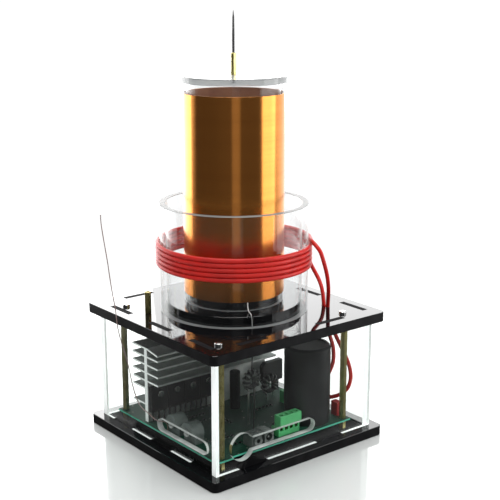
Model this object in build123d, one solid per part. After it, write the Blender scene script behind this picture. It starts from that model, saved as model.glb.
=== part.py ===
from build123d import *
import os
from math import ceil, cos, dist, hypot, pi, radians, sin, sqrt, tan

# Desktop resonant transformer: two black acrylic plates on brass posts, four clear walls between
# them, a circuit board in the bay, and on the deck a clear tube with a red primary winding round
# a taller clear tube with a fine copper secondary winding, a brass post and a steel needle.
#
# Millimetres. +Z is up, the origin is the centre of the base plate's underside. The keyhole wall
# faces -Y and the slotted wall faces -X; the nearest corner in the usual view is -X, -Y.

# ---------------------------------------------------------------- driving dimensions
# Plates and walls
plate_side = 175.0          # square plates, side length
plate_thickness = 8.0
plate_corner = 5.0          # corner radius of the plates
plate_edge_break = 0.3      # small chamfer round a plate's rims
wall_thickness = 5.0
wall_setback = 8.0          # plate edge to the outer face of a wall
wall_end_gap = 0.15         # end of a short wall to the long wall beside it
tab_length = 28.0
tab_play = 0.15             # slot wall to tab, all round
long_wall_tabs = (-43.0, 35.5)
middle_tab = -5.5           # Y of a short wall's middle tab
front_tab_inset = 14.5      # inner face of the front wall to the first tab's middle
back_tab_inset = 24.5       # last tab's middle to the inner face of the back wall

# Openings in the walls
keyhole_radius = 11.0
keyhole_inset = 25.5        # left wall's outer face to the round hole's middle
keyhole_z = 25.2
keyhole_slot_height = 10.6
keyhole_slot_inset = 60.7   # slot's end to the right wall's outer face
slot_length = 66.0
slot_height = 10.5
slot_inset = 39.5           # front wall's inner face to the slot's middle
slot_z = 25.8

# Brass hexagon stacks, board and M3 hardware
stack_left_inset = 18.5     # plate's edge to the stacks on that side
stack_right_inset = 31.5
stack_front_inset = 18.0
stack_back_inset = 32.0
hex_flats = 5.0
spacer_height = 8.0
board_thickness = 1.6
lower_post_height = 17.0
middle_post_height = 28.0
upper_post_height = 36.0
hex_end_break = 0.35
thread_radius = 1.5
thread_play = 0.05          # stud to bore, radial
stud_in_spacer = 4.0
stud_in_post = 5.0
bore_spare = 1.0            # bore depth past the stud's tip
base_screw_reach = 3.0      # base screw's length inside the spacer
deck_screw_reach = 6.0      # deck screw's length inside the top post
clearance_hole_radius = 1.7
pan_head_radius = 3.0
pan_head_height = 2.2
flat_head_radius = 2.8
flat_head_sink = 0.2        # flat head below the base's underside
recess_width = 0.8
recess_share = 0.62         # recess length as a share of the head's width
board_margin = 4.5          # stack centre to the board's edge

# Tubes and coil
primary_tube_radius = 60.0
primary_tube_wall = 5.0
primary_tube_height = 88.0
disc_thickness = 8.0
disc_play = 0.25            # disc to the primary tube's bore, radial
secondary_tube_radius = 40.0
secondary_tube_wall = 3.0
secondary_tube_height = 175.4
plug_thickness = 7.0
plug_play = 0.15            # plug to the secondary tube's bore, radial
winding_thickness = 0.5
winding_start = 7.3         # height of the winding above the secondary tube's foot
winding_end_gap = 8.2       # top of the winding to the cap
winding_play = 0.05
centre_bolt_radius = 2.0
centre_nut_flats = 7.0
centre_nut_height = 3.2
cap_radius = 42.5
cap_thickness = 5.0

# Discharge point and earth post
discharge_flats = 4.0
discharge_height = 17.0
needle_radius = 1.05
needle_tip_radius = 0.15
needle_length = 32.5        # above the post
needle_seat = 8.0           # inside the post
needle_point = 6.0
cap_screw_radius = 1.0
cap_screw_head_radius = 2.0
cap_screw_head_height = 1.5
earth_post_inset = 9.7      # left wall's inner face to the post's axis
earth_post_y = 29.5
earth_post_height = 18.0

# Primary wire
primary_wire = 3.0          # outer diameter of the insulation
primary_turns = 5
primary_pitch = 3.85
primary_play = 0.15         # wire to tube
primary_first_turn = 38.2   # centre of the wire's first turn above the deck
primary_end_angle = -38.0   # where both ends leave the tube, degrees from +X
lead_slit_x = 59.5
lead_slit_y = -45.75
lead_spacing = 4.7          # between the two leads in the slit
lead_play = 0.45            # lead to slit wall

# Thin wires
aerial_wire = 0.8
secondary_lead_wire = 0.9
secondary_lead_angle = -113.0
lead_foot_inset = 1.4       # primary tube's bore to the lead's way down
lead_notch_play = 0.35
lead_notch_depth = 5.3      # the disc's notch starts this far inside the lead's way down

# Screw terminal for the supply leads
terminal_ways = 4
terminal_pitch = 5.08
terminal_end_wall = 0.6
terminal_to_reservoir = 31.4    # middle of the block to the large can's axis
terminal_wall_gap = 5.3     # front wall's inner face to the block
terminal_depth = 7.4
terminal_height = 17.4
terminal_foot_depth = 11.0
terminal_foot_height = 7.0
window_width = 3.4
window_height = 4.4
window_sill = 4.2           # above the board
cage_width = 3.5
cage_depth = 4.2
cage_height = 5.4
cage_wall = 0.7
cage_head = 1.3
cage_play = 0.3
cage_travel = 1.8
clamp_screw_radius = 1.25
clamp_head_radius = 1.75
clamp_head_height = 1.8
clamp_well_depth = 3.6      # top of the block to the floor that carries the screw head

# Tuning controls behind the slotted wall
control_offsets = (23.0, 2.0)   # each control's axis from the slot's middle
control_can_radius = 8.0
control_can_length = 11.0
control_wall_gap = 4.5      # left wall's inner face to the can
bush_radius = 3.5
bush_length = 2.6
shaft_radius = 2.8
shaft_length = 9.0
shaft_wall_gap = 0.5
shaft_slot_width = 0.9
shaft_slot_depth = 1.2

# Sockets behind the keyhole
signal_to_supply = 10.5     # between the sockets' axes
signal_socket_width = 10.0
signal_socket_depth = 12.0
signal_socket_height = 10.6
signal_nose_radius = 4.0
signal_nose_length = 1.7
signal_bore_radius = 1.8
signal_bore_depth = 12.0
supply_to_terminal = 24.6
supply_socket_width = 9.0
supply_socket_depth = 13.4
supply_socket_height = 11.0
supply_bore_radius = 3.1
supply_bore_depth = 9.5
supply_pin_radius = 1.0
socket_wall_gap = 0.2

# Heatsink and power transistors
heatsink_wall_gap = 4.0     # left wall's inner face to the fins' ends
heatsink_length = 118.0
heatsink_web_y = 22.0
heatsink_web = 4.0
heatsink_height = 63.4
heatsink_left_reach = 19.0  # web centre to the fin tips on +Y
heatsink_right_reach = 17.0
fin_thickness = 1.4
fin_pitch = 6.85
left_fins = 6
right_fins = 5
fin_droop = 2.6             # the top right fin's tip hangs this much lower
foot_fin_z = 15.5           # lowest left fin above the board
transistor_count = 4
transistor_pitch = 16.0
transistor_end = 8.5        # fins' ends to the first transistor's middle
transistor_width = 15.2
transistor_height = 20.8
transistor_thickness = 5.0
transistor_lift = 9.5       # board to the transistor's underside
transistor_leg_pitch = 5.45
transistor_leg_width = 1.2
transistor_leg_thickness = 0.6
pad_thickness = 0.2
pad_margin = 0.8
transistor_screw_drop = 6.0 # top of the transistor to its screw

# Other parts on the board
reservoir_right_inset = 28.5    # can's axis to the board's right edge
reservoir_front_inset = 21.5
reservoir_radius = 18.75
reservoir_height = 65.0
reservoir_bevel = 1.6
reservoir_dish_radius = 15.0
reservoir_dish_depth = 0.8
driver_capacitor_x = 1.0
driver_capacitor_y = 3.0
driver_capacitor_radius = 4.4
driver_capacitor_height = 33.0
film_right_inset = 5.7      # box's left face to the board's right edge
film_front_inset = 10.0
film_capacitor_size = (5.5, 7.2, 11.4)
relay_terminal_x = 44.0
relay_terminal_y = -20.0    # front face
relay_terminal_size = (10.8, 9.4, 10.6)
relay_wire_height = 5.9     # centre of the wire holes above the board
relay_hole_play = 0.25
relay_hole_depth = 4.2
chip_size = (9.8, 6.4, 3.3)
chip_places = ((-17.0, 36.0), (1.0, 36.0))
chip_leg_pitch = 2.54
resistor_radius = 1.25
resistor_length = 6.4
resistor_places = ((14.0, 30.0), (14.0, 35.0), (14.0, 40.0), (14.0, 45.0))
resistor_wire = 0.6
resistor_bend = 0.9

# Bridge rectifier between the heatsink and the gate ring
bridge_right_inset = 12.5   # body's middle to the board's right edge
bridge_y = 12.0
bridge_size = (21.6, 4.6, 18.0)
bridge_lift = 10.4          # board to the body's underside
bridge_corner = 3.0         # cut corner that marks the positive leg
bridge_leg_pitch = 5.0
bridge_leg = 1.0            # the legs' square section

# Ring cores: mean radius, half section, corner, wire, turns
gate_ring = dict(mean=5.9, half=2.0, corner=1.6, wire=0.9, turns=9)
sense_ring = dict(mean=5.9, half=2.0, corner=1.6, wire=0.9, turns=9)
gate_ring_place = (38.5, 2.5)
sense_ring_place = (-7.6, -29.9)
gate_ring_turn = 0.0        # ring's axis from +Y, degrees
sense_ring_turn = 5.0
ring_wire_play = 0.1
ring_open_arc = 90.0        # bare part of the ring, at the bottom
ring_lead_step = 2.4        # from the ring's side to the upright lead
ring_lead_bend = 1.6
sense_ring_lift = 27.5      # board to the sense ring's wire: it hangs on its stiff leads
gate_ring_lift = 3.0

# ---------------------------------------------------------------- heights and places worked out
base_top = plate_thickness
board_under = base_top + spacer_height
board_top = board_under + board_thickness
lower_post_top = board_top + lower_post_height
middle_post_top = lower_post_top + middle_post_height
deck_under = middle_post_top + upper_post_height
deck_top = deck_under + plate_thickness
wall_outer = plate_side / 2 - wall_setback
wall_inner = wall_outer - wall_thickness
disc_top = deck_top + disc_thickness
plug_top = disc_top + plug_thickness
cap_under = disc_top + secondary_tube_height
cap_top = cap_under + cap_thickness
bore_radius = thread_radius + thread_play
plate_half = plate_side / 2
stack_left, stack_right = stack_left_inset - plate_half, plate_half - stack_right_inset
stack_front, stack_back = stack_front_inset - plate_half, plate_half - stack_back_inset
stack_places = [(x, y) for x in (stack_left, stack_right) for y in (stack_front, stack_back)]
board_left, board_right = stack_left - board_margin, stack_right + board_margin
board_front, board_back = stack_front - board_margin, stack_back + board_margin
short_wall_tabs = (front_tab_inset - wall_inner, middle_tab, wall_inner - back_tab_inset)
keyhole_x = keyhole_inset - wall_outer
earth_post_x = earth_post_inset - wall_inner
keyhole_slot_end = wall_outer - keyhole_slot_inset
slot_y = slot_inset - wall_inner
slot_back_end = slot_y + slot_length / 2
winding_length = secondary_tube_height - winding_start - winding_end_gap
reservoir_x = board_right - reservoir_right_inset
reservoir_y = board_front + reservoir_front_inset
film_capacitor_x = board_right - film_right_inset
film_capacitor_y = board_front + film_front_inset
bridge_x = board_right - bridge_right_inset
terminal_centre_x = reservoir_x - terminal_to_reservoir
terminal_front_y = terminal_wall_gap - wall_inner
supply_socket_x = terminal_centre_x - supply_to_terminal
signal_socket_x = supply_socket_x - signal_to_supply
socket_front_y = socket_wall_gap - wall_inner
control_places = [slot_y + offset for offset in control_offsets]
control_front_x = control_wall_gap - wall_inner
shaft_front_x = shaft_wall_gap - wall_inner
heatsink_front_x = heatsink_wall_gap - wall_inner
transistor_xs = [
    heatsink_front_x + transistor_end + i * transistor_pitch for i in range(transistor_count)
]
transistor_back = heatsink_web_y - heatsink_web / 2 - pad_thickness
transistor_front = transistor_back - transistor_thickness
transistor_foot = board_top + transistor_lift
transistor_top = transistor_foot + transistor_height
transistor_screw_z = transistor_top - transistor_screw_drop
LOW = (Align.CENTER, Align.CENTER, Align.MIN)


# ---------------------------------------------------------------- shared shapes
def block(x0, x1, y0, y1, z0, z1):
    """A box given by its faces."""
    return Pos((x0 + x1) / 2, (y0 + y1) / 2, z0) * Box(x1 - x0, y1 - y0, z1 - z0, align=LOW)


def rod(x, y, z0, z1, radius):
    """An upright cylinder."""
    return Pos(x, y, z0) * Cylinder(radius, z1 - z0, align=LOW)


def lying_rod(x0, x1, y, z, radius):
    """A cylinder along X."""
    return Pos(x0, y, z) * Rot(0, 90, 0) * Cylinder(radius, x1 - x0, align=LOW)


def deep_rod(x, y0, y1, z, radius):
    """A cylinder along Y."""
    return Pos(x, y0, z) * Rot(-90, 0, 0) * Cylinder(radius, y1 - y0, align=LOW)


def hex_bar(x, y, z0, z1, flats, end_break=hex_end_break):
    """An upright hexagon bar with its end corners broken."""
    outline = Pos(x, y, z0) * RegularPolygon(flats / 2, 6, major_radius=False)
    bar = extrude(outline, z1 - z0)
    ends = bar.faces().filter_by(Axis.Z)
    return chamfer(ends.edges(), end_break)


def turned(profile, x=0.0, y=0.0, z=0.0):
    """A round body from (radius, height) corners that start and end on the axis."""
    outline = Polyline(*[(r, 0, h) for r, h in profile], close=True)
    return Pos(x, y, z) * revolve(make_face(outline), Axis.Z)


def at_stacks(shape_at, *sizes):
    """A stack's piece at each of the four places, made with the given sizes."""
    return Compound(children=[shape_at(x, y, *sizes) for x, y in stack_places])


def cross_recess(head_radius, depth):
    """The cutter for a cross recess, its mouth at z = 0, pointing down."""
    arm = 2 * head_radius * recess_share
    bar = Box(arm, recess_width, depth, align=(Align.CENTER, Align.CENTER, Align.MAX))
    return bar + Rot(0, 0, 90) * bar


def pan_screw(length, radius, head_radius, head_height):
    """A pan head screw with its seat at z = 0 and its head above."""
    head = Cylinder(head_radius, head_height, align=LOW)
    head = fillet(head.edges().group_by(Axis.Z)[-1], head_height * 0.45)
    recess = Pos(0, 0, head_height) * cross_recess(head_radius, head_height * 0.6)
    shank = Pos(0, 0, -length) * Cylinder(radius, length, align=LOW)
    shank = chamfer(shank.edges().group_by(Axis.Z)[0], radius * 0.25)
    return head - recess + shank


# ---------------------------------------------------------------- wires
def biarc(p0, t0, p1, t1):
    """Two tangent arcs from p0, heading t0, to p1, heading t1."""
    v = p1 - p0
    t = t0 + t1
    spread = 2 * (1 - t0.dot(t1))
    vt = v.dot(t)
    reach = (sqrt(vt * vt + spread * v.dot(v)) - vt) / spread
    middle = (p0 + t0 * reach + p1 - t1 * reach) * 0.5
    first = TangentArc(p0, middle, tangent=t0)
    second = TangentArc(middle, p1, tangent=(p1 - t1 * reach - middle).normalized())
    return [first.edge(), second.edge()]


def winding_edges(place, heading, steps):
    """Biarcs through steps + 1 points of a curve on the parameter range 0 to 1."""
    edges = []
    for i in range(steps):
        a, b = i / steps, (i + 1) / steps
        edges += biarc(place(a), heading(a), place(b), heading(b))
    return edges


def bend_radii(points):
    """The radius at each corner: 0.45 of the shorter run over the half turn's tangent."""
    radii = []
    for a, b, c in zip(points, points[1:], points[2:]):
        into, out = b - a, c - b
        half_turn = radians(into.get_angle(out)) / 2
        radii.append(0.45 * min(into.length, out.length) / tan(half_turn))
    return radii


def bent_edges(points, name):
    """Straight runs through the points, joined by tangent arcs; prints the radii."""
    radii = bend_radii(points)
    print(name, "bend radii", [round(r, 1) for r in radii])
    return list(FilletPolyline(*points, radius=radii).edges())


def tube_along(edges, diameter, name):
    """A round wire swept along tangent edges; prints its volume against section x length."""
    path = Wire(edges)
    section = Plane(path @ 0, z_dir=path % 0) * Circle(diameter / 2)
    wire = sweep(section, path=path)
    expected = pi * diameter ** 2 / 4 * path.length
    print(name, "length", round(path.length, 1), "volume share", round(wire.volume / expected, 4))
    return wire


def least_gap(edges, diameter, name, step=0.6):
    """The least clear distance of a wire to itself, measured on points along its centre line."""
    path = Wire(edges)
    count = ceil(path.length / step)
    points = [tuple(path @ (i / count)) for i in range(count + 1)]
    apart = ceil(pi * diameter / (path.length / count))
    gap = min(
        dist(points[i], points[j])
        for i in range(len(points)) for j in range(i + apart, len(points))
    )
    print(name, "least gap to itself", round(gap - diameter, 2))


# ---------------------------------------------------------------- plates and walls
def wall_tabs(play, z0, z1):
    """Every wall tab's box between two heights, grown by the play."""
    half = tab_length / 2 + play
    boxes = []
    for side in (-1, 1):
        middle = side * (wall_outer - wall_thickness / 2)
        near, far = middle - wall_thickness / 2 - play, middle + wall_thickness / 2 + play
        boxes += [block(t - half, t + half, near, far, z0, z1) for t in long_wall_tabs]
        boxes += [block(near, far, t - half, t + half, z0, z1) for t in short_wall_tabs]
    return boxes


def blank_plate(underside):
    """A rounded square plate with its rims broken and the slots for the wall tabs."""
    outline = RectangleRounded(plate_side, plate_side, plate_corner)
    plate = extrude(Pos(0, 0, underside) * outline, plate_thickness)
    plate = chamfer(plate.faces().filter_by(Axis.Z).edges(), plate_edge_break)
    for slot in wall_tabs(tab_play, underside, underside + plate_thickness):
        plate -= slot
    return plate


def base_plate():
    """The base, countersunk from below for the four flat head screws."""
    plate = blank_plate(0)
    sink_depth = flat_head_radius - thread_radius + flat_head_sink
    for x, y in stack_places:
        plate -= rod(x, y, 0, base_top, clearance_hole_radius)
        plate -= Pos(x, y, 0) * Cone(flat_head_radius + flat_head_sink, thread_radius, sink_depth, align=LOW)
    return plate


def lead_slit():
    """The rounded slit in the deck for the two primary leads."""
    width = primary_wire + 2 * lead_play
    outline = SlotOverall(lead_spacing + width, width, rotation=90)
    return extrude(Pos(lead_slit_x, lead_slit_y, deck_under) * outline, plate_thickness)


def deck_plate():
    """The deck, drilled for its screws, the earth post, the centre bolt and the coil leads."""
    plate = blank_plate(deck_under)
    for x, y in stack_places + [(earth_post_x, earth_post_y)]:
        plate -= rod(x, y, deck_under, deck_top, clearance_hole_radius)
    plate -= rod(0, 0, deck_under, deck_top, centre_bolt_radius + thread_play)
    x, y = secondary_lead_foot()
    plate -= rod(x, y, deck_under, deck_top, secondary_lead_wire / 2 + lead_notch_play)
    return plate - lead_slit()


def long_wall(side):
    """A full-width clear wall on -Y (side -1) or +Y (side 1), with its tabs."""
    faces = sorted((side * wall_inner, side * wall_outer))
    wall = block(-wall_outer, wall_outer, *faces, base_top, deck_under)
    for t in long_wall_tabs:
        wall += block(t - tab_length / 2, t + tab_length / 2, *faces, 0, deck_top)
    return wall


def short_wall(side):
    """A clear wall on -X (side -1) or +X (side 1) between the long walls, with its tabs."""
    faces = sorted((side * wall_inner, side * wall_outer))
    half = wall_inner - wall_end_gap
    wall = block(*faces, -half, half, base_top, deck_under)
    for t in short_wall_tabs:
        wall += block(*faces, t - tab_length / 2, t + tab_length / 2, 0, deck_top)
    return wall


def keyhole_wall():
    """The front wall: a round hole that runs into a slot with a rounded end."""
    wall = long_wall(-1) - deep_rod(keyhole_x, -wall_outer, -wall_inner, keyhole_z, keyhole_radius)
    half = keyhole_slot_height / 2
    end = keyhole_slot_end - half
    wall -= block(keyhole_x, end, -wall_outer, -wall_inner, keyhole_z - half, keyhole_z + half)
    return wall - deep_rod(end, -wall_outer, -wall_inner, keyhole_z, half)


def slotted_wall():
    """The left wall with its long rounded slot in front of the tuning controls."""
    wall = short_wall(-1)
    half = slot_height / 2
    run = slot_length / 2 - half
    wall -= block(-wall_outer, -wall_inner, slot_y - run, slot_y + run, slot_z - half, slot_z + half)
    for end in (slot_y - run, slot_y + run):
        wall -= lying_rod(-wall_outer, -wall_inner, end, slot_z, half)
    return wall


# ---------------------------------------------------------------- brass stacks and their screws
def post_at(x, y, foot, height, stud):
    """A hexagon post with a stud below and a bore in its top."""
    top = foot + height
    bore_depth = max(stud_in_post, deck_screw_reach) + bore_spare
    post = hex_bar(x, y, foot, top, hex_flats) - rod(x, y, top - bore_depth, top, bore_radius)
    pin = chamfer(Cylinder(thread_radius, stud, align=LOW).edges().group_by(Axis.Z)[0], 0.3)
    return post + Pos(x, y, foot - stud) * pin


def spacer_at(x, y):
    """A bored hexagon spacer between the base and the board."""
    return hex_bar(x, y, base_top, board_under, hex_flats) - rod(x, y, base_top, board_under, bore_radius)


def base_screw_at(x, y):
    """A flat head screw up through the base into the spacer."""
    cone_height = flat_head_radius - thread_radius
    tip = base_top + base_screw_reach
    screw = Pos(x, y, flat_head_sink) * Cone(flat_head_radius, thread_radius, cone_height, align=LOW)
    screw += rod(x, y, flat_head_sink + cone_height, tip, thread_radius)
    recess = Rot(180, 0, 0) * cross_recess(flat_head_radius, cone_height * 0.7)
    return screw - Pos(x, y, flat_head_sink) * recess


def deck_screw_at(x, y):
    """A pan head screw down through the deck into the top post."""
    screw = pan_screw(plate_thickness + deck_screw_reach, thread_radius, pan_head_radius, pan_head_height)
    return Pos(x, y, deck_top) * screw


# ---------------------------------------------------------------- board and what stands on it
def circuit_board():
    """The green board, drilled at the four stacks."""
    board = block(board_left, board_right, board_front, board_back, board_under, board_top)
    for x, y in stack_places:
        board -= rod(x, y, board_under, board_top, clearance_hole_radius)
    return board


def heatsink():
    """An extrusion along X: an upright web with fins to both sides, drilled for the transistors."""
    left = heatsink_web_y + heatsink_left_reach
    right = heatsink_web_y - heatsink_right_reach
    top = board_top + heatsink_height
    x1 = heatsink_front_x + heatsink_length
    half = heatsink_web / 2
    sink = block(heatsink_front_x, x1, heatsink_web_y - half, heatsink_web_y + half, board_top, top)
    for i in range(left_fins):
        z = top - i * fin_pitch
        sink += block(heatsink_front_x, x1, heatsink_web_y, left, z - fin_thickness, z)
    for i in range(1, right_fins):
        z = top - i * fin_pitch
        sink += block(heatsink_front_x, x1, right, heatsink_web_y, z - fin_thickness, z)
    z = board_top + foot_fin_z
    sink += block(heatsink_front_x, x1, heatsink_web_y, left, z - fin_thickness, z)
    root = heatsink_web_y - half
    low = top - fin_thickness
    corners = [(root, top), (right, top - fin_droop), (right, low - fin_droop), (root, low)]
    droop = Polyline(*[(heatsink_front_x, y, z) for y, z in corners], close=True)
    sink += extrude(make_face(droop), heatsink_length, dir=(1, 0, 0))
    for x in transistor_xs:
        sink -= deep_rod(x, root, heatsink_web_y + half, transistor_screw_z, bore_radius)
    return sink


def thermal_pad():
    """The thin insulating strip between the transistors and the web."""
    back = transistor_back + pad_thickness
    x0 = transistor_xs[0] - transistor_width / 2 - pad_margin
    x1 = transistor_xs[-1] + transistor_width / 2 + pad_margin
    pad = block(x0, x1, transistor_back, back, transistor_foot - pad_margin, transistor_top + pad_margin)
    for x in transistor_xs:
        pad -= deep_rod(x, transistor_back, back, transistor_screw_z, clearance_hole_radius)
    return pad


def power_transistor(x):
    """A flat power transistor, upright on its three legs."""
    half = transistor_width / 2
    body = block(x - half, x + half, transistor_front, transistor_back, transistor_foot, transistor_top)
    body = chamfer(body.faces().sort_by(Axis.Y)[0].edges(), 0.6)
    body -= deep_rod(x, transistor_front, transistor_back, transistor_screw_z, clearance_hole_radius)
    leg_y = (transistor_front + transistor_back) / 2
    near, far = leg_y - transistor_leg_thickness / 2, leg_y + transistor_leg_thickness / 2
    for i in (-1, 0, 1):
        leg_x = x + i * transistor_leg_pitch
        sides = (leg_x - transistor_leg_width / 2, leg_x + transistor_leg_width / 2)
        body += block(*sides, near, far, board_top, transistor_foot + 0.5)
    return body


def transistor_screw(x):
    """The screw that clamps a transistor to the web."""
    length = transistor_thickness + pad_thickness + heatsink_web
    screw = pan_screw(length, thread_radius, pan_head_radius, pan_head_height)
    return Pos(x, transistor_front, transistor_screw_z) * Rot(90, 0, 0) * screw


def along_heatsink(shape_at):
    """A transistor's piece at each place along the heatsink."""
    return Compound(children=[shape_at(x) for x in transistor_xs])


def bridge_rectifier():
    """The flat bridge rectifier, upright on its four legs."""
    dx, dy, dz = bridge_size
    x0, x1 = bridge_x - dx / 2, bridge_x + dx / 2
    y0, y1 = bridge_y - dy / 2, bridge_y + dy / 2
    foot = board_top + bridge_lift
    body = block(x0, x1, y0, y1, foot, foot + dz)
    body = chamfer(body.edges().filter_by(Axis.Y).group_by(Axis.Z)[-1].sort_by(Axis.X)[0], bridge_corner)
    half = bridge_leg / 2
    for i in range(4):
        x = bridge_x + (i - 1.5) * bridge_leg_pitch
        body += block(x - half, x + half, bridge_y - half, bridge_y + half, board_top, foot)
    return body


def reservoir_capacitor():
    """The large can with a bevelled shoulder and a dished top."""
    can = rod(reservoir_x, reservoir_y, board_top, board_top + reservoir_height, reservoir_radius)
    can = chamfer(can.edges().group_by(Axis.Z)[-1], reservoir_bevel)
    top = board_top + reservoir_height
    return can - rod(reservoir_x, reservoir_y, top - reservoir_dish_depth, top, reservoir_dish_radius)


def driver_capacitor():
    """The slim upright capacitor with a domed shoulder."""
    top = board_top + driver_capacitor_height
    can = rod(driver_capacitor_x, driver_capacitor_y, board_top, top, driver_capacitor_radius)
    return fillet(can.edges().group_by(Axis.Z)[-1], 1.5)


def film_capacitor():
    """The small boxed film capacitor beside the right stack."""
    dx, dy, dz = film_capacitor_size
    x, y = film_capacitor_x, film_capacitor_y
    box = block(x, x + dx, y, y + dy, board_top, board_top + dz)
    return fillet(box.edges().filter_by(Axis.Z), 0.5)


def driver_chips():
    """The driver chips, each a body with two rows of legs."""
    dx, dy, dz = chip_size
    lift = 0.6
    chips = []
    for x, y in chip_places:
        chip = block(x - dx / 2, x + dx / 2, y - dy / 2, y + dy / 2, board_top + lift, board_top + lift + dz)
        chip = chamfer(chip.faces().sort_by(Axis.Z)[-1].edges(), 0.4)
        for i in range(4):
            leg_x = x + (i - 1.5) * chip_leg_pitch
            for side in (-1, 1):
                edge = y + side * dy / 2
                faces = sorted((edge - side * 0.2, edge + side * 0.4))
                chip += block(leg_x - 0.3, leg_x + 0.3, *faces, board_top, board_top + lift + dz / 2)
        chips.append(chip)
    return Compound(children=chips)


def resistors():
    """The row of small resistors, each on its own bent wire."""
    rise = resistor_radius + 0.4
    reach = resistor_length / 2 + 2.0
    corners = [(-reach, 0, 0), (-reach, 0, rise), (reach, 0, rise), (reach, 0, 0)]
    path = FilletPolyline(*[Vector(*c) for c in corners], radius=resistor_bend)
    wire = sweep(Plane(path @ 0, z_dir=path % 0) * Circle(resistor_wire / 2), path=path)
    body = lying_rod(-resistor_length / 2, resistor_length / 2, 0, rise, resistor_radius)
    resistor = fillet(body.edges(), 0.5) + wire
    return Compound(children=[Pos(x, y, board_top) * resistor for x, y in resistor_places])


def relay_wire_xs():
    """The X of the two wire holes of the primary's board terminal."""
    return (relay_terminal_x - terminal_pitch / 2, relay_terminal_x + terminal_pitch / 2)


def primary_terminal():
    """The two-way block behind the large can that takes the primary leads."""
    dx, dy, dz = relay_terminal_size
    y = relay_terminal_y
    body = block(relay_terminal_x - dx / 2, relay_terminal_x + dx / 2, y, y + dy, board_top, board_top + dz)
    body = chamfer(body.faces().sort_by(Axis.Z)[-1].edges().sort_by(Axis.Y)[0], 1.5)
    wire_z = board_top + relay_wire_height
    for x in relay_wire_xs():
        body -= deep_rod(x, y, y + relay_hole_depth, wire_z, primary_wire / 2 + relay_hole_play)
        body -= rod(x, y + dy / 2 + 1, board_top + dz - 2, board_top + dz, 1.6)
    return body


# ---------------------------------------------------------------- supply terminal
def terminal_xs():
    """The X of each way of the supply terminal."""
    first = terminal_centre_x - (terminal_ways - 1) * terminal_pitch / 2
    return [first + i * terminal_pitch for i in range(terminal_ways)]


cavity_y0 = terminal_front_y + 1.0
cavity_y1 = cavity_y0 + cage_depth + 2 * cage_play
clamp_axis_y = (cavity_y0 + cavity_y1) / 2
cage_floor = board_top + 2.4
cavity_z0 = cage_floor - cage_play
cavity_z1 = cage_floor + cage_height + cage_travel + cage_play
clamp_seat = board_top + terminal_height - clamp_well_depth


def terminal_block():
    """The green block: square windows in front, screw wells on top, a cavity for each clamp."""
    half = terminal_ways * terminal_pitch / 2 + terminal_end_wall
    x0, x1 = terminal_centre_x - half, terminal_centre_x + half
    front = terminal_front_y
    body = block(x0, x1, front, front + terminal_depth, board_top, board_top + terminal_height)
    body += block(x0, x1, front, front + terminal_foot_depth, board_top, board_top + terminal_foot_height)
    body = chamfer(body.faces().sort_by(Axis.Z)[-1].edges().sort_by(Axis.Y)[0], 0.5)
    sill = board_top + window_sill
    window = window_width / 2
    room = cage_width / 2 + cage_play
    for x in terminal_xs():
        body -= block(x - window, x + window, front, cavity_y0, sill, sill + window_height)
        body -= block(x - room, x + room, cavity_y0, cavity_y1, cavity_z0, cavity_z1)
        body -= rod(x, clamp_axis_y, cavity_z1, clamp_seat, clamp_screw_radius + 0.1)
        body -= rod(x, clamp_axis_y, clamp_seat, board_top + terminal_height, clamp_head_radius + 0.15)
    return body


def clamp_screw(x):
    """A slotted clamp screw: its head sits in the well and its shank drives the clamp."""
    seat = clamp_seat + 0.05
    head = rod(x, clamp_axis_y, seat, seat + clamp_head_height, clamp_head_radius)
    head -= Pos(x, clamp_axis_y, seat + clamp_head_height) * Box(
        2 * clamp_head_radius, 0.6, 2.0, align=(Align.CENTER, Align.CENTER, Align.CENTER))
    tip = cage_floor + cage_wall + cage_travel + 0.2
    return head + rod(x, clamp_axis_y, tip, seat, clamp_screw_radius)


def clamp_cage(x):
    """A brass cage round the wire: the screw draws it up."""
    z1 = cage_floor + cage_height
    y0, y1 = clamp_axis_y - cage_depth / 2, clamp_axis_y + cage_depth / 2
    half = cage_width / 2
    mouth = half - cage_wall / 2
    cage = block(x - half, x + half, y0, y1, cage_floor, z1)
    cage -= block(x - mouth, x + mouth, y0, y1, cage_floor + cage_wall, z1 - cage_head)
    return cage - rod(x, clamp_axis_y, z1 - cage_head, z1, clamp_screw_radius + thread_play)


# ---------------------------------------------------------------- tuning controls and sockets
control_axis_z = board_top + control_can_radius + 0.4


def control_body(y):
    """A round can on a square foot, with a bush that points at the slot."""
    back = control_front_x + control_can_length
    z = control_axis_z
    can = lying_rod(control_front_x, back, y, z, control_can_radius)
    half = control_can_radius - 0.6
    can += block(control_front_x, back, y - half, y + half, board_top, z)
    bush_front = control_front_x - bush_length
    can += lying_rod(bush_front, control_front_x, y, z, bush_radius)
    bore_end = shaft_front_x + shaft_length + 0.2
    return can - lying_rod(bush_front, bore_end, y, z, shaft_radius + thread_play)


def control_shaft(y):
    """The slotted shaft that a screwdriver turns through the wall's slot."""
    z = control_axis_z
    shaft = lying_rod(shaft_front_x, shaft_front_x + shaft_length, y, z, shaft_radius)
    shaft = chamfer(shaft.edges().group_by(Axis.X)[0], 0.3)
    slot_x = shaft_front_x + shaft_slot_depth
    half = shaft_slot_width / 2
    reach = shaft_radius + 0.1
    return shaft - block(shaft_front_x, slot_x, y - reach, y + reach, z - half, z + half)


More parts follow.
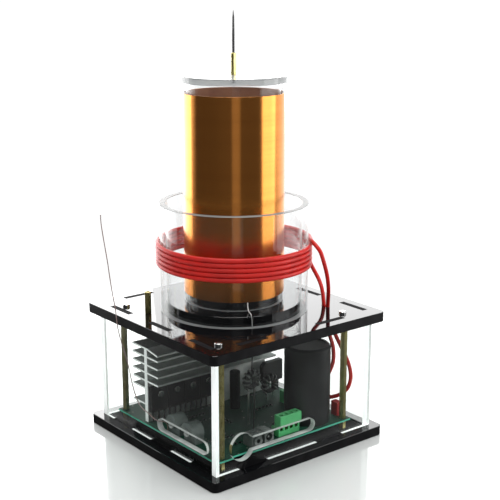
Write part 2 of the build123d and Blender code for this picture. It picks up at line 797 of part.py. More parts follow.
def signal_socket():
    """The socket for a 3.5 mm plug, with its round nose in line with the slot."""
    half = signal_socket_width / 2
    body_front = socket_front_y + signal_nose_length
    axis_z = board_top + signal_socket_height / 2
    body = block(
        signal_socket_x - half, signal_socket_x + half,
        body_front, body_front + signal_socket_depth, board_top, board_top + signal_socket_height,
    )
    body = fillet(body.edges().filter_by(Axis.Z), 0.6)
    body += deep_rod(signal_socket_x, socket_front_y, body_front, axis_z, signal_nose_radius)
    bore_end = socket_front_y + signal_bore_depth
    return body - deep_rod(signal_socket_x, socket_front_y, bore_end, axis_z, signal_bore_radius)


def supply_socket():
    """The barrel socket with its centre pin."""
    half = supply_socket_width / 2
    x0, x1 = supply_socket_x - half, supply_socket_x + half
    front = socket_front_y
    axis_z = board_top + supply_socket_height - half - 0.4
    body = block(x0, x1, front, front + supply_socket_depth, board_top, board_top + supply_socket_height)
    body = chamfer(body.edges().filter_by(Axis.Y).group_by(Axis.Z)[-1], 1.0)
    body -= deep_rod(supply_socket_x, front, front + supply_bore_depth, axis_z, supply_bore_radius)
    return body + deep_rod(supply_socket_x, front + 1.0, front + supply_bore_depth, axis_z, supply_pin_radius)


# ---------------------------------------------------------------- ring cores
def ring_frame(ring, place, turn, lift):
    """Where a ring stands: its axis lies level, turned from +Y, its wire clears the board."""
    reach = ring["mean"] + ring_wire_radius(ring) + ring["wire"] / 2
    x, y = place
    return Pos(x, y, board_top + lift + reach) * Rot(0, 0, turn) * Rot(90, 0, 0)


def ring_wire_radius(ring):
    """The wire's centre line round the core's section."""
    corner_reach = (ring["half"] - ring["corner"]) * sqrt(2) + ring["corner"]
    return corner_reach + ring["wire"] / 2 + ring_wire_play


def ring_core(ring):
    """The bare core with its axis on Z."""
    side = 2 * ring["half"]
    section = Plane.XZ * Pos(ring["mean"], 0) * RectangleRounded(side, side, ring["corner"])
    return revolve(section, Axis.Z)


def ring_winding(ring, lift, name):
    """The turns round the core and two straight leads down to the board, one unbroken wire."""
    mean, around, turns = ring["mean"], ring_wire_radius(ring), ring["turns"]
    start = radians(-90 + ring_open_arc / 2)
    sweep_angle = radians(360 - ring_open_arc)

    def place(t):
        phi = start + sweep_angle * t
        psi = 2 * pi * turns * t
        r = mean + around * cos(psi)
        return Vector(r * cos(phi), r * sin(phi), around * sin(psi))

    def heading(t):
        phi = start + sweep_angle * t
        psi = 2 * pi * turns * t
        r = mean + around * cos(psi)
        dr = -around * 2 * pi * turns * sin(psi)
        return Vector(
            dr * cos(phi) - r * sin(phi) * sweep_angle,
            dr * sin(phi) + r * cos(phi) * sweep_angle,
            around * 2 * pi * turns * cos(psi),
        ).normalized()

    floor = -(mean + around + ring["wire"] / 2) - lift
    into = place(0) - heading(0) * ring_lead_step
    out = place(1) + heading(1) * ring_lead_step
    first = FilletPolyline(Vector(into.X, floor, into.Z), into, place(0), radius=ring_lead_bend)
    last = FilletPolyline(place(1), out, Vector(out.X, floor, out.Z), radius=ring_lead_bend)
    edges = list(first.edges()) + winding_edges(place, heading, 2 * turns) + list(last.edges())
    least_gap(edges, ring["wire"], name, step=0.4)
    return tube_along(edges, ring["wire"], name)


# ---------------------------------------------------------------- tubes, coil and what carries them
def secondary_lead_foot():
    """Where the secondary's lower lead goes down through the disc and the deck."""
    r = primary_tube_radius - primary_tube_wall - lead_foot_inset
    angle = radians(secondary_lead_angle)
    return r * cos(angle), r * sin(angle)


def coil_disc():
    """The black disc that centres the primary tube, notched for the secondary's lead."""
    disc = rod(0, 0, deck_top, disc_top, primary_tube_radius - primary_tube_wall - disc_play)
    disc = chamfer(disc.edges().group_by(Axis.Z)[-1], 0.4)
    x, y = secondary_lead_foot()
    half = secondary_lead_wire / 2 + lead_notch_play
    notch = block(hypot(x, y) - lead_notch_depth, primary_tube_radius, -half, half, deck_top, disc_top)
    disc -= Rot(0, 0, secondary_lead_angle) * notch
    return disc - rod(0, 0, deck_top, disc_top, centre_bolt_radius + thread_play)


def coil_plug():
    """The smaller disc inside the foot of the secondary tube."""
    plug = rod(0, 0, disc_top, plug_top, secondary_tube_radius - secondary_tube_wall - plug_play)
    return plug - rod(0, 0, disc_top, plug_top, centre_bolt_radius + thread_play)


def centre_bolt():
    """The bolt through plug, disc and deck."""
    length = plug_thickness + disc_thickness + plate_thickness + centre_nut_height + 1.5
    return Pos(0, 0, plug_top) * pan_screw(length, centre_bolt_radius, 4.0, 2.6)


def centre_nut():
    """The nut under the deck."""
    nut = hex_bar(0, 0, deck_under - centre_nut_height, deck_under, centre_nut_flats)
    return nut - rod(0, 0, deck_under - centre_nut_height, deck_under, centre_bolt_radius + thread_play)


def open_tube(z0, height, radius, wall):
    """A plain tube with its rims broken."""
    tube = rod(0, 0, z0, z0 + height, radius) - rod(0, 0, z0, z0 + height, radius - wall)
    return chamfer(tube.edges().filter_by(GeomType.CIRCLE), 0.3)


def secondary_winding():
    """The close single layer of fine wire, far finer than a turn could show."""
    z0 = disc_top + winding_start
    inner = secondary_tube_radius + winding_play
    z1 = z0 + winding_length
    return rod(0, 0, z0, z1, inner + winding_thickness) - rod(0, 0, z0, z1, inner)


def secondary_lead():
    """The secondary's lower lead: down the tube, out over the disc, through the deck to the board."""
    angle = radians(secondary_lead_angle)
    foot_x, foot_y = secondary_lead_foot()
    foot_r = hypot(foot_x, foot_y)
    r = secondary_lead_wire / 2
    near = secondary_tube_radius + winding_play + r + 0.1
    lay = disc_top + r + 0.1
    side = [
        (near, disc_top + winding_start - 0.3), (near, lay + 2.85), (near + 2.7, lay + 0.1),
        (near + 6.0, lay), (foot_r - 3.9, lay + 0.1), (foot_r - 0.9, lay - 3.0),
        (foot_r, lay - 8.0), (foot_r - 0.05, deck_under - 0.6),
    ]
    points = [Vector(q * cos(angle), q * sin(angle), z) for q, z in side]
    hanging = [
        (-1.0, 0.9, 84.0), (-1.4, 1.2, 68.0), (0.4, 0.4, 52.0),
        (0.9, 0.9, 36.0), (0.0, 0.5, 24.0), (0.1, 0.5, board_top),
    ]
    points += [Vector(foot_x + dx, foot_y + dy, z) for dx, dy, z in hanging]
    return tube_along(bent_edges(points, "secondary_lead"), secondary_lead_wire, "secondary_lead")


def top_cap():
    """The clear cap on the secondary tube."""
    cap = rod(0, 0, cap_under, cap_top, cap_radius)
    cap = chamfer(cap.edges().filter_by(GeomType.CIRCLE), 0.3)
    return cap - rod(0, 0, cap_under, cap_top, cap_screw_radius + 0.1)


def discharge_post():
    """The slim brass post that holds the needle, bored from both ends."""
    post = hex_bar(0, 0, cap_top, cap_top + discharge_height, discharge_flats, 0.25)
    post -= rod(0, 0, cap_top, cap_top + 6.5, cap_screw_radius + thread_play)
    top = cap_top + discharge_height
    return post - rod(0, 0, top - needle_seat, top, needle_radius + thread_play)


def cap_screw():
    """The screw up through the cap into the discharge post."""
    screw = pan_screw(cap_thickness + 6.0, cap_screw_radius, cap_screw_head_radius, cap_screw_head_height)
    return Pos(0, 0, cap_under) * Rot(180, 0, 0) * screw


def discharge_needle():
    """The steel needle, tapering to a point."""
    tip = needle_seat + needle_length
    profile = [
        (0, 0), (needle_radius, 0), (needle_radius, tip - 3 * needle_point),
        (needle_radius * 0.8, tip - needle_point), (needle_tip_radius, tip), (0, tip),
    ]
    return turned(profile, z=cap_top + discharge_height - needle_seat)


def earth_post():
    """The brass post on the deck, bored right through its length."""
    x, y = earth_post_x, earth_post_y
    post = hex_bar(x, y, deck_top, deck_top + earth_post_height, hex_flats)
    return post - rod(x, y, deck_top, deck_top + earth_post_height, bore_radius)


def earth_screw():
    """The screw up through the deck into the earth post."""
    screw = pan_screw(plate_thickness + deck_screw_reach, thread_radius, pan_head_radius, pan_head_height)
    return Pos(earth_post_x, earth_post_y, deck_under) * Rot(180, 0, 0) * screw


# ---------------------------------------------------------------- primary winding and aerial
def primary_winding():
    """The red wire: a lead from the board, five turns round the tube, a lead back to the board."""
    radius = primary_tube_radius + primary_play + primary_wire / 2
    z0 = deck_top + primary_first_turn
    rise = primary_turns * primary_pitch

    def place(t):
        angle = radians(primary_end_angle) - 2 * pi * primary_turns * t
        return Vector(radius * cos(angle), radius * sin(angle), z0 + rise * t)

    def heading(t):
        angle = radians(primary_end_angle) - 2 * pi * primary_turns * t
        speed = 2 * pi * primary_turns * radius
        return Vector(speed * sin(angle), -speed * cos(angle), rise).normalized()

    xa, xb = relay_wire_xs()
    entry = relay_terminal_y + relay_hole_depth - 0.2
    wire_z = board_top + relay_wire_height
    slit_a = lead_slit_y + lead_spacing / 2
    slit_b = lead_slit_y - lead_spacing / 2
    start, end = place(0), place(1)
    lower = [
        Vector(xa, entry, wire_z), Vector(xa, -23.0, wire_z), Vector(43.6, -30.2, 26.6),
        Vector(51.0, -38.4, 33.6), Vector(59.4, -45.6, 44.0), Vector(64.4, -49.0, 57.0),
        Vector(64.6, -48.6, 71.0), Vector(61.6, -45.4, 84.0),
        Vector(lead_slit_x, slit_a, 97.0), Vector(lead_slit_x + 0.3, slit_a, 108.0),
        Vector(61.5, -39.5, 118.6), Vector(63.2, -33.4, 125.8), Vector(63.1, -27.4, 132.2),
        Vector(59.1, -26.4, 139.6), start - heading(0) * 8.3, start,
    ]
    upper = [
        end, end + heading(1) * 7.6, Vector(40.6, -51.6, 163.4), Vector(41.6, -58.0, 158.2),
        Vector(44.6, -59.3, 148.2), Vector(50.5, -57.0, 136.0), Vector(55.9, -53.0, 122.5),
        Vector(lead_slit_x + 0.3, slit_b, 110.0), Vector(lead_slit_x, slit_b, 97.0),
        Vector(60.9, -53.6, 85.0), Vector(63.6, -59.8, 73.0), Vector(67.2, -64.2, 61.0),
        Vector(69.8, -65.0, 49.0), Vector(68.6, -62.6, 37.5), Vector(63.6, -56.0, 30.6),
        Vector(56.6, -46.6, 27.6), Vector(50.4, -36.4, 25.6), Vector(xb, -25.6, wire_z),
        Vector(xb, entry, wire_z),
    ]
    edges = bent_edges(lower, "primary lower lead")
    edges += winding_edges(place, heading, 2 * primary_turns)
    edges += bent_edges(upper, "primary upper lead")
    least_gap(edges, primary_wire, "primary_winding", step=1.5)
    return tube_along(edges, primary_wire, "primary_winding")


def pickup_aerial():
    """The stiff aerial wire, by reach out of the left wall, way past the slot's end, and height."""
    route = [
        (-7.6, -3.6, board_top), (-7.6, -3.7, 21.6), (-6.7, -3.8, 25.6), (-3.3, -3.9, 27.8),
        (0.9, -2.6, 28.4), (3.3, 1.4, 31.0), (3.5, 8.0, 33.2), (3.4, 14.6, 33.7), (3.7, 20.2, 36.6),
        (4.5, 24.0, 43.6), (5.7, 26.6, 53.0), (6.7, 28.2, 64.0), (8.1, 31.2, 76.0), (9.4, 36.0, 88.0),
        (9.7, 40.0, 99.0), (9.5, 41.6, 111.0), (9.5, 45.8, 123.5), (9.4, 49.2, 136.0),
        (9.5, 51.6, 148.5), (9.5, 55.2, 161.0), (9.4, 58.4, 172.0), (9.5, 60.0, 180.0),
        (9.5, 60.1, 186.0),
    ]
    points = [Vector(-wall_outer - out, slot_back_end + along, z) for out, along, z in route]
    return tube_along(bent_edges(points, "pickup_aerial"), aerial_wire, "pickup_aerial")


# ---------------------------------------------------------------- write every node
def all_nodes():
    """Every named piece in its place."""
    gate_frame = ring_frame(gate_ring, gate_ring_place, gate_ring_turn, gate_ring_lift)
    sense_frame = ring_frame(sense_ring, sense_ring_place, sense_ring_turn, sense_ring_lift)
    nodes = {
        "base_plate": base_plate(),
        "deck_plate": deck_plate(),
        "keyhole_wall": keyhole_wall(),
        "slotted_wall": slotted_wall(),
        "back_wall": long_wall(1),
        "right_wall": short_wall(1),
        "base_screws": at_stacks(base_screw_at),
        "base_spacers": at_stacks(spacer_at),
        "lower_posts": at_stacks(post_at, board_top, lower_post_height, board_thickness + stud_in_spacer),
        "middle_posts": at_stacks(post_at, lower_post_top, middle_post_height, stud_in_post),
        "upper_posts": at_stacks(post_at, middle_post_top, upper_post_height, stud_in_post),
        "deck_screws": at_stacks(deck_screw_at),
        "circuit_board": circuit_board(),
        "heatsink": heatsink(),
        "thermal_pad": thermal_pad(),
        "power_transistors": along_heatsink(power_transistor),
        "transistor_screws": along_heatsink(transistor_screw),
        "bridge_rectifier": bridge_rectifier(),
        "reservoir_capacitor": reservoir_capacitor(),
        "driver_capacitor": driver_capacitor(),
        "film_capacitor": film_capacitor(),
        "driver_chips": driver_chips(),
        "resistors": resistors(),
        "primary_terminal": primary_terminal(),
        "terminal_block": terminal_block(),
        "signal_socket": signal_socket(),
        "supply_socket": supply_socket(),
        "gate_ring_core": gate_frame * ring_core(gate_ring),
        "gate_ring_winding": gate_frame * ring_winding(gate_ring, gate_ring_lift, "gate_ring_winding"),
        "sense_ring_core": sense_frame * ring_core(sense_ring),
        "sense_ring_winding": sense_frame * ring_winding(sense_ring, sense_ring_lift, "sense_ring_winding"),
        "primary_tube": open_tube(deck_top, primary_tube_height, primary_tube_radius, primary_tube_wall),
        "primary_winding": primary_winding(),
        "coil_disc": coil_disc(),
        "coil_plug": coil_plug(),
        "centre_bolt": centre_bolt(),
        "centre_nut": centre_nut(),
        "secondary_tube": open_tube(
            disc_top, secondary_tube_height, secondary_tube_radius, secondary_tube_wall),
        "secondary_winding": secondary_winding(),
        "secondary_lead": secondary_lead(),
        "top_cap": top_cap(),
        "cap_screw": cap_screw(),
        "discharge_post": discharge_post(),
        "discharge_needle": discharge_needle(),
        "earth_post": earth_post(),
        "earth_screw": earth_screw(),
        "pickup_aerial": pickup_aerial(),
    }
    for i, x in enumerate(terminal_xs(), start=1):
        nodes[f"clamp_screw_{i}"] = clamp_screw(x)
        nodes[f"clamp_cage_{i}"] = clamp_cage(x)
    for i, y in enumerate(control_places, start=1):
        nodes[f"control_body_{i}"] = control_body(y)
        nodes[f"control_shaft_{i}"] = control_shaft(y)
    return nodes


os.makedirs("parts", exist_ok=True)
for name, shape in all_nodes().items():
    export_step(shape, f"parts/{name}.step")
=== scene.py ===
import logging
import math
from dataclasses import dataclass
from enum import Enum
from typing import Callable, Iterable

import bmesh
import bpy
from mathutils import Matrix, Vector


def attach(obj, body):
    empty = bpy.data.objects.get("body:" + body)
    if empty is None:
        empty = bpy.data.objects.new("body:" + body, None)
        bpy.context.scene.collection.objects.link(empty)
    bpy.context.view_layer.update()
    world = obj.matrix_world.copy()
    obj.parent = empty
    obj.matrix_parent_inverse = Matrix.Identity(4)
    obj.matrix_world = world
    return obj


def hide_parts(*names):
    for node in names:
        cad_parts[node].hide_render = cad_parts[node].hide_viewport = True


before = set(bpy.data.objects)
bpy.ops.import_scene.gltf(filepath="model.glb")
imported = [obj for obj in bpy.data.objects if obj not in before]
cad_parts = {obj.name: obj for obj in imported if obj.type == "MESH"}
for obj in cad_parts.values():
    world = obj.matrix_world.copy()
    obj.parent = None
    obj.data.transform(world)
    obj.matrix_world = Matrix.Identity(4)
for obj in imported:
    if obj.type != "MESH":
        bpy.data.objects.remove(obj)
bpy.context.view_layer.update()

Colour = tuple[float, float, float]
MM = 0.001
ROOT = "transformer"
HEADING = 0.8936
FACING = HEADING - math.pi
ROOM = 0.08
log = logging.getLogger("transformer")


# ---------------------------------------------------------------- shader bench
class Reading:
    """A number that changes over a surface: a socket whose arithmetic adds Math nodes."""

    def __init__(self, bench: "Bench", socket: bpy.types.NodeSocket) -> None:
        """Wraps one output socket of the bench's tree."""
        self.bench = bench
        self.socket = socket

    def _math(self, operation: str, *terms: "float | Reading") -> "Reading":
        """Adds one Math node on the terms."""
        node = self.bench.node("ShaderNodeMath", {"operation": operation}, dict(enumerate(terms)))
        return Reading(self.bench, node.outputs[0])

    def __add__(self, other: "float | Reading") -> "Reading":
        """self + other."""
        return self._math("ADD", self, other)

    def __radd__(self, other: float) -> "Reading":
        """other + self."""
        return self._math("ADD", other, self)

    def __sub__(self, other: "float | Reading") -> "Reading":
        """self - other."""
        return self._math("SUBTRACT", self, other)

    def __rsub__(self, other: float) -> "Reading":
        """other - self."""
        return self._math("SUBTRACT", other, self)

    def __mul__(self, other: "float | Reading") -> "Reading":
        """self * other."""
        return self._math("MULTIPLY", self, other)

    def __rmul__(self, other: float) -> "Reading":
        """other * self."""
        return self._math("MULTIPLY", other, self)

    def __truediv__(self, other: "float | Reading") -> "Reading":
        """self / other."""
        return self._math("DIVIDE", self, other)

    def __rtruediv__(self, other: float) -> "Reading":
        """other / self."""
        return self._math("DIVIDE", other, self)

    def __pow__(self, other: "float | Reading") -> "Reading":
        """self ** other."""
        return self._math("POWER", self, other)

    def __abs__(self) -> "Reading":
        """The size of self without its sign."""
        return self._math("ABSOLUTE", self)

    def sine(self) -> "Reading":
        """The sine of self in radians."""
        return self._math("SINE", self)

    def larger(self, other: "float | Reading") -> "Reading":
        """The larger of self and other."""
        return self._math("MAXIMUM", self, other)

    def smaller(self, other: "float | Reading") -> "Reading":
        """The smaller of self and other."""
        return self._math("MINIMUM", self, other)

    def step(self, low: float, high: float) -> "Reading":
        """A smooth rise from 0 at low to 1 at high; high below low gives a fall.

        Args:
            low: the value of self where the result is 0.
            high: the value of self where the result is 1.
        Returns:
            The clamped smooth step.
        """
        node = self.bench.node(
            "ShaderNodeMapRange", {"interpolation_type": "SMOOTHSTEP", "clamp": True},
            {"Value": self, "From Min": low, "From Max": high, "To Min": 0.0, "To Max": 1.0})
        return Reading(self.bench, node.outputs["Result"])


class Bench:
    """A node tree that is being built: nodes come from node(), patterns from the methods below."""

    def __init__(self, owner: "bpy.types.Material | bpy.types.World") -> None:
        """Clears the owner's tree and starts on it."""
        owner.use_nodes = True
        self.tree = owner.node_tree
        self.tree.nodes.clear()
        self._place: bpy.types.NodeSocket | None = None
        self._axes: bpy.types.Node | None = None

    def node(self, kind: str, settings: dict[str, object] | None = None,
             inputs: dict[str | int, object] | None = None) -> bpy.types.Node:
        """Adds a node.

        Args:
            kind: the node's type name.
            settings: attributes of the node, set first.
            inputs: values or links of its sockets, by name or number.
        Returns:
            The new node.
        """
        made = self.tree.nodes.new(kind)
        for key, value in (settings or {}).items():
            setattr(made, key, value)
        for key, value in (inputs or {}).items():
            socket = made.inputs[key]
            if isinstance(value, Reading):
                self.tree.links.new(value.socket, socket)
            elif isinstance(value, bpy.types.NodeSocket):
                self.tree.links.new(value, socket)
            elif socket.type == "RGBA" and len(value) == 3:
                socket.default_value = (*value, 1.0)
            else:
                socket.default_value = value
        return made

    def place(self) -> bpy.types.NodeSocket:
        """The point on the surface, in metres, in the part's frame."""
        if self._place is None:
            self._place = self.node("ShaderNodeTexCoord").outputs["Object"]
        return self._place

    def axis(self, name: str) -> Reading:
        """One coordinate of place(), "X", "Y" or "Z"."""
        if self._axes is None:
            self._axes = self.node("ShaderNodeSeparateXYZ", None, {0: self.place()})
        return Reading(self, self._axes.outputs[name])

    def moved(self, centre: Colour, turn: float, stretch: Colour) -> bpy.types.NodeSocket:
        """place() seen from a centre, turned about Z and stretched.

        Args:
            centre: the new origin, in metres.
            turn: the turn about Z, in radians.
            stretch: the scale along each axis after the turn.
        Returns:
            The vector socket.
        """
        about = self.node("ShaderNodeVectorMath", {"operation": "SUBTRACT"}, {0: self.place(), 1: centre})
        node = self.node("ShaderNodeMapping", None, {
            "Vector": about.outputs[0], "Rotation": (0.0, 0.0, turn), "Scale": stretch})
        return node.outputs[0]

    def noise(self, per_metre: float, detail: float = 3.0, stretch: Colour = (1.0, 1.0, 1.0),
              harshness: float = 0.5) -> Reading:
        """Soft noise from 0 to 1.

        Args:
            per_metre: how many features a metre holds.
            detail: finer layers.
            stretch: scale along X, Y, Z: a small number draws the noise out along that axis.
            harshness: weight of the finer layers.
        Returns:
            The noise.
        """
        vector = self.place() if stretch == (1.0, 1.0, 1.0) else self.moved((0.0, 0.0, 0.0), 0.0, stretch)
        node = self.node("ShaderNodeTexNoise", None, {
            "Vector": vector, "Scale": per_metre, "Detail": detail, "Roughness": harshness})
        return Reading(self, node.outputs[0])

    def specks(self, per_metre: float, size: float, share: float) -> Reading:
        """Scattered round specks, 1 inside and 0 outside.

        Args:
            per_metre: cells per metre.
            size: a speck's radius as a share of its cell.
            share: share of the cells that hold one.
        Returns:
            The mask.
        """
        cells = self.node("ShaderNodeTexVoronoi", {"feature": "F1"}, {
            "Vector": self.place(), "Scale": per_metre})
        near = Reading(self, cells.outputs["Distance"]).step(size, size * 0.5)
        colour = self.node("ShaderNodeSeparateColor", None, {0: cells.outputs["Color"]})
        return near * Reading(self, colour.outputs[0]).step(share, share * 0.9)

    def mix(self, first: object, second: object, amount: "Reading | float") -> bpy.types.NodeSocket:
        """A colour between first, at amount 0, and second, at amount 1."""
        node = self.node("ShaderNodeMix", {"data_type": "RGBA"}, {0: amount, 6: first, 7: second})
        return node.outputs[2]

    def bump(self, height: Reading, depth: float, strength: float = 1.0) -> bpy.types.NodeSocket:
        """A normal that the height, 0 to 1 times depth in metres, disturbs."""
        node = self.node("ShaderNodeBump", None, {
            "Height": height, "Distance": depth, "Strength": strength})
        return node.outputs[0]

    def shader(self, **inputs: object) -> bpy.types.NodeSocket:
        """A Principled shader; underscores in the names stand for spaces."""
        named = {key.replace("_", " "): value for key, value in inputs.items()}
        return self.node("ShaderNodeBsdfPrincipled", None, named).outputs[0]

    def blend(self, first: bpy.types.NodeSocket, second: bpy.types.NodeSocket,
              amount: "Reading | float") -> bpy.types.NodeSocket:
        """A shader between first and second."""
        return self.node("ShaderNodeMixShader", None, {0: amount, 1: first, 2: second}).outputs[0]

    def reflected(self) -> Reading:
        """1 for a ray that a surface has mirrored, also when it went through glass since, else 0."""
        path = self.node("ShaderNodeLightPath")
        return Reading(self, path.outputs["Glossy Depth"]).smaller(1.0)

    def close(self, surface: bpy.types.NodeSocket) -> None:
        """Joins the surface to the tree's output."""
        self.node("ShaderNodeOutputMaterial", None, {"Surface": surface})


class Finish:
    """A finish that makes its material once."""

    made: dict[str, bpy.types.Material] = {}

    def material(self) -> bpy.types.Material:
        """The finish's material, built the first time it is asked for."""
        name = self.name
        if name not in Finish.made:
            made = bpy.data.materials.new(name)
            Finish.made[name] = made
            self.paint(Bench(made))
        return Finish.made[name]


# ---------------------------------------------------------------- finishes
@dataclass(frozen=True)
class BlackSheet(Finish):
    """Polished black acrylic with faint wiping marks and a little dust."""

    name: str = "black_sheet"
    body: Colour = (0.004, 0.0042, 0.005)
    dust: Colour = (0.16, 0.165, 0.17)
    gloss: float = 0.035

    def paint(self, bench: Bench) -> None:
        """Near black under a clear skin."""
        wiping = bench.noise(22.0, 4.0, (1.0, 0.35, 1.0))
        marks = bench.noise(900.0, 2.0, (0.05, 1.0, 1.0)).step(0.62, 0.8)
        dust = bench.specks(420.0, 0.09, 0.10) * 0.5
        roughness = self.gloss + wiping.step(0.45, 0.75) * 0.035 + marks * 0.03
        bench.close(bench.shader(
            Base_Color=bench.mix(self.body, self.dust, dust), Roughness=roughness, IOR=1.49,
            Normal=bench.bump(bench.noise(60.0, 2.0), 0.00002, 0.25)))


class SheetLook(Enum):
    """How clear acrylic shows."""

    WALL = "clear_wall"
    TUBE = "clear_tube"
    CAP = "clear_cap"


@dataclass(frozen=True)
class ClearSheet(Finish):
    """Clear acrylic that lets light and shadow rays straight through, with a breath of haze, and where edge is
    set a painted glow at grazing angles.
    """

    name: str = SheetLook.WALL.value
    tint: Colour = (0.965, 0.985, 0.975)
    haze: float = 0.012
    haze_colour: Colour = (0.75, 0.78, 0.78)
    edge: float = 0.0
    painted_edge_colour: Colour = (0.5, 0.52, 0.52)
    straight: bool = False

    def paint(self, bench: Bench) -> None:
        """Refracting for the eye, or thin and straight; plain transparent for shadows."""
        cloud = bench.noise(30.0, 4.0).step(0.35, 0.85)
        marks = bench.specks(300.0, 0.07, 0.12)
        glass = bench.shader(
            Base_Color=self.tint, Roughness=cloud * 0.01, IOR=1.49, Transmission_Weight=1.0,
            Normal=bench.bump(bench.noise(9.0, 1.0), 0.0004, 0.1))
        through = bench.node("ShaderNodeBsdfTransparent", None, {0: self.tint}).outputs[0]
        if self.straight:
            skin = bench.node("ShaderNodeBsdfGlossy", None, {"Color": (1.0, 1.0, 1.0), "Roughness": 0.02})
            tilt = Reading(bench, bench.node("ShaderNodeLayerWeight", None, {"Blend": 0.5}).outputs["Facing"])
            glass = bench.blend(through, skin.outputs[0], tilt ** 5.0 * 0.6 + 0.03)
        film = bench.shader(Base_Color=self.haze_colour, Roughness=0.6, IOR=1.49)
        dusty = bench.blend(glass, film, (cloud * self.haze + marks * 0.05).smaller(0.5))
        # Painted reflection: at grazing angles a grey skin with its own emission draws light lines along the
        # tube's sides.
        if self.edge:
            facing = bench.node("ShaderNodeLayerWeight", None, {"Blend": 0.5}).outputs["Facing"]
            grey = bench.shader(
                Base_Color=self.painted_edge_colour, Roughness=0.3, IOR=1.49, Emission_Color=self.painted_edge_colour,
                Emission_Strength=0.35)
            dusty = bench.blend(dusty, grey, Reading(bench, facing).step(0.62, 0.95) * self.edge)
        path = bench.node("ShaderNodeLightPath")
        passing = Reading(bench, path.outputs["Is Shadow Ray"]).larger(
            Reading(bench, path.outputs["Is Diffuse Ray"]))
        bench.close(bench.blend(dusty, through, passing))


@dataclass(frozen=True)
class CutEdge(Finish):
    """The sawn and flame-dulled edge of clear acrylic, with a painted glow: emission that stands in for the light
    it gathers.
    """

    name: str = "cut_edge"
    colour: Colour = (0.93, 0.96, 0.95)
    shade: Colour = (0.76, 0.82, 0.8)
    # glow: emission strength, painted light; the edge is no lamp.
    glow: float = 0.4
    coat: float = 0.3

    def paint(self, bench: Bench) -> None:
        """White and satin with fine saw lines, and a painted glow."""
        saw = bench.noise(2600.0, 2.0, (1.0, 1.0, 0.08))
        patch = bench.noise(60.0, 3.0)
        colour = bench.mix(self.shade, self.colour, (saw * 0.4 + patch * 0.8).step(0.3, 0.75))
        bench.close(bench.shader(
            Base_Color=colour, Roughness=0.35 + patch * 0.2, IOR=1.49, Coat_Weight=self.coat,
            Emission_Color=colour, Emission_Strength=self.glow,
            Normal=bench.bump(saw, 0.00004, 0.4)))


@dataclass(frozen=True)
class Moulded(Finish):
    """A moulded or painted solid: a base colour, a second tone, a gloss and a fine grain."""

    name: str
    colour: Colour
    tone: Colour
    gloss: float = 0.4
    patch_per_metre: float = 80.0
    grain_per_metre: float = 2500.0
    grain_depth: float = 0.00003
    coat: float = 0.0
    worn: float = 0.12
    ior: float = 1.5

    def paint(self, bench: Bench) -> None:
        """Cloudy tone, light wear, and grain in gloss and bump."""
        patch = bench.noise(self.patch_per_metre, 4.0).step(0.35, 0.7)
        grain = bench.noise(self.grain_per_metre, 2.0)
        worn = bench.noise(self.patch_per_metre * 3.0, 5.0, harshness=0.7).step(0.62, 0.78) * self.worn
        pale = tuple(c * 0.6 + 0.3 for c in self.colour)
        colour = bench.mix(bench.mix(self.colour, self.tone, patch), pale, worn)
        bench.close(bench.shader(
            Base_Color=colour, Roughness=self.gloss + patch * 0.08 + grain * 0.08, IOR=self.ior,
            Coat_Weight=self.coat, Coat_Roughness=0.1, Normal=bench.bump(grain, self.grain_depth, 0.5)))


@dataclass(frozen=True)
class Metal(Finish):
    """Bare metal: two tones, tool lines drawn out along one axis, and darker handling marks."""

    name: str
    colour: Colour
    tone: Colour
    gloss: float = 0.25
    lines: Colour = (1.0, 1.0, 0.03)
    lines_per_metre: float = 4000.0
    lines_depth: float = 0.00001
    marks: Colour = (0.25, 0.22, 0.18)
    marked: float = 0.2

    def paint(self, bench: Bench) -> None:
        """Lines in gloss and bump, marks in colour."""
        lines = bench.noise(self.lines_per_metre, 2.0, self.lines)
        patch = bench.noise(140.0, 4.0)
        marks = bench.noise(500.0, 5.0, harshness=0.7).step(0.6, 0.75) * self.marked
        colour = bench.mix(bench.mix(self.colour, self.tone, patch.step(0.35, 0.7)), self.marks, marks)
        bench.close(bench.shader(
            Base_Color=colour, Metallic=1.0 - marks * 0.6, Roughness=self.gloss + lines * 0.12 + marks * 0.3,
            Normal=bench.bump(lines, self.lines_depth, 0.5)))


@dataclass(frozen=True)
class CopperTurns(Finish):
    """A close layer of enamelled copper wire: fine level turns that draw highlights out upright."""

    name: str = "copper_turns"
    colour: Colour = (0.86, 0.33, 0.07)
    tone: Colour = (0.62, 0.2, 0.035)
    wire: float = 0.00028
    gloss: float = 0.2

    def paint(self, bench: Bench) -> None:
        """Turns in bump, uneven tension and enamel in colour and gloss."""
        height = bench.axis("Z")
        turns = (height * (2.0 * math.pi / self.wire)).sine() * 0.5 + 0.5
        rows = bench.noise(1400.0, 3.0, (0.012, 0.012, 1.0), 0.6)
        bands = bench.noise(120.0, 3.0, (0.02, 0.02, 1.0))
        scuffs = bench.noise(160.0, 5.0, harshness=0.65).step(0.6, 0.8)
        colour = bench.mix(self.colour, self.tone, (rows * 0.45 + bands * 0.5 + scuffs * 0.15).step(0.3, 1.1))
        bench.close(bench.shader(
            Base_Color=colour, Metallic=1.0, Roughness=self.gloss + rows * 0.06 + scuffs * 0.05,
            Anisotropic=0.85, Anisotropic_Rotation=0.25, Coat_Weight=0.05, Coat_Roughness=0.25,
            Normal=bench.bump(turns * 0.4 + rows, 0.00003, 0.2)))


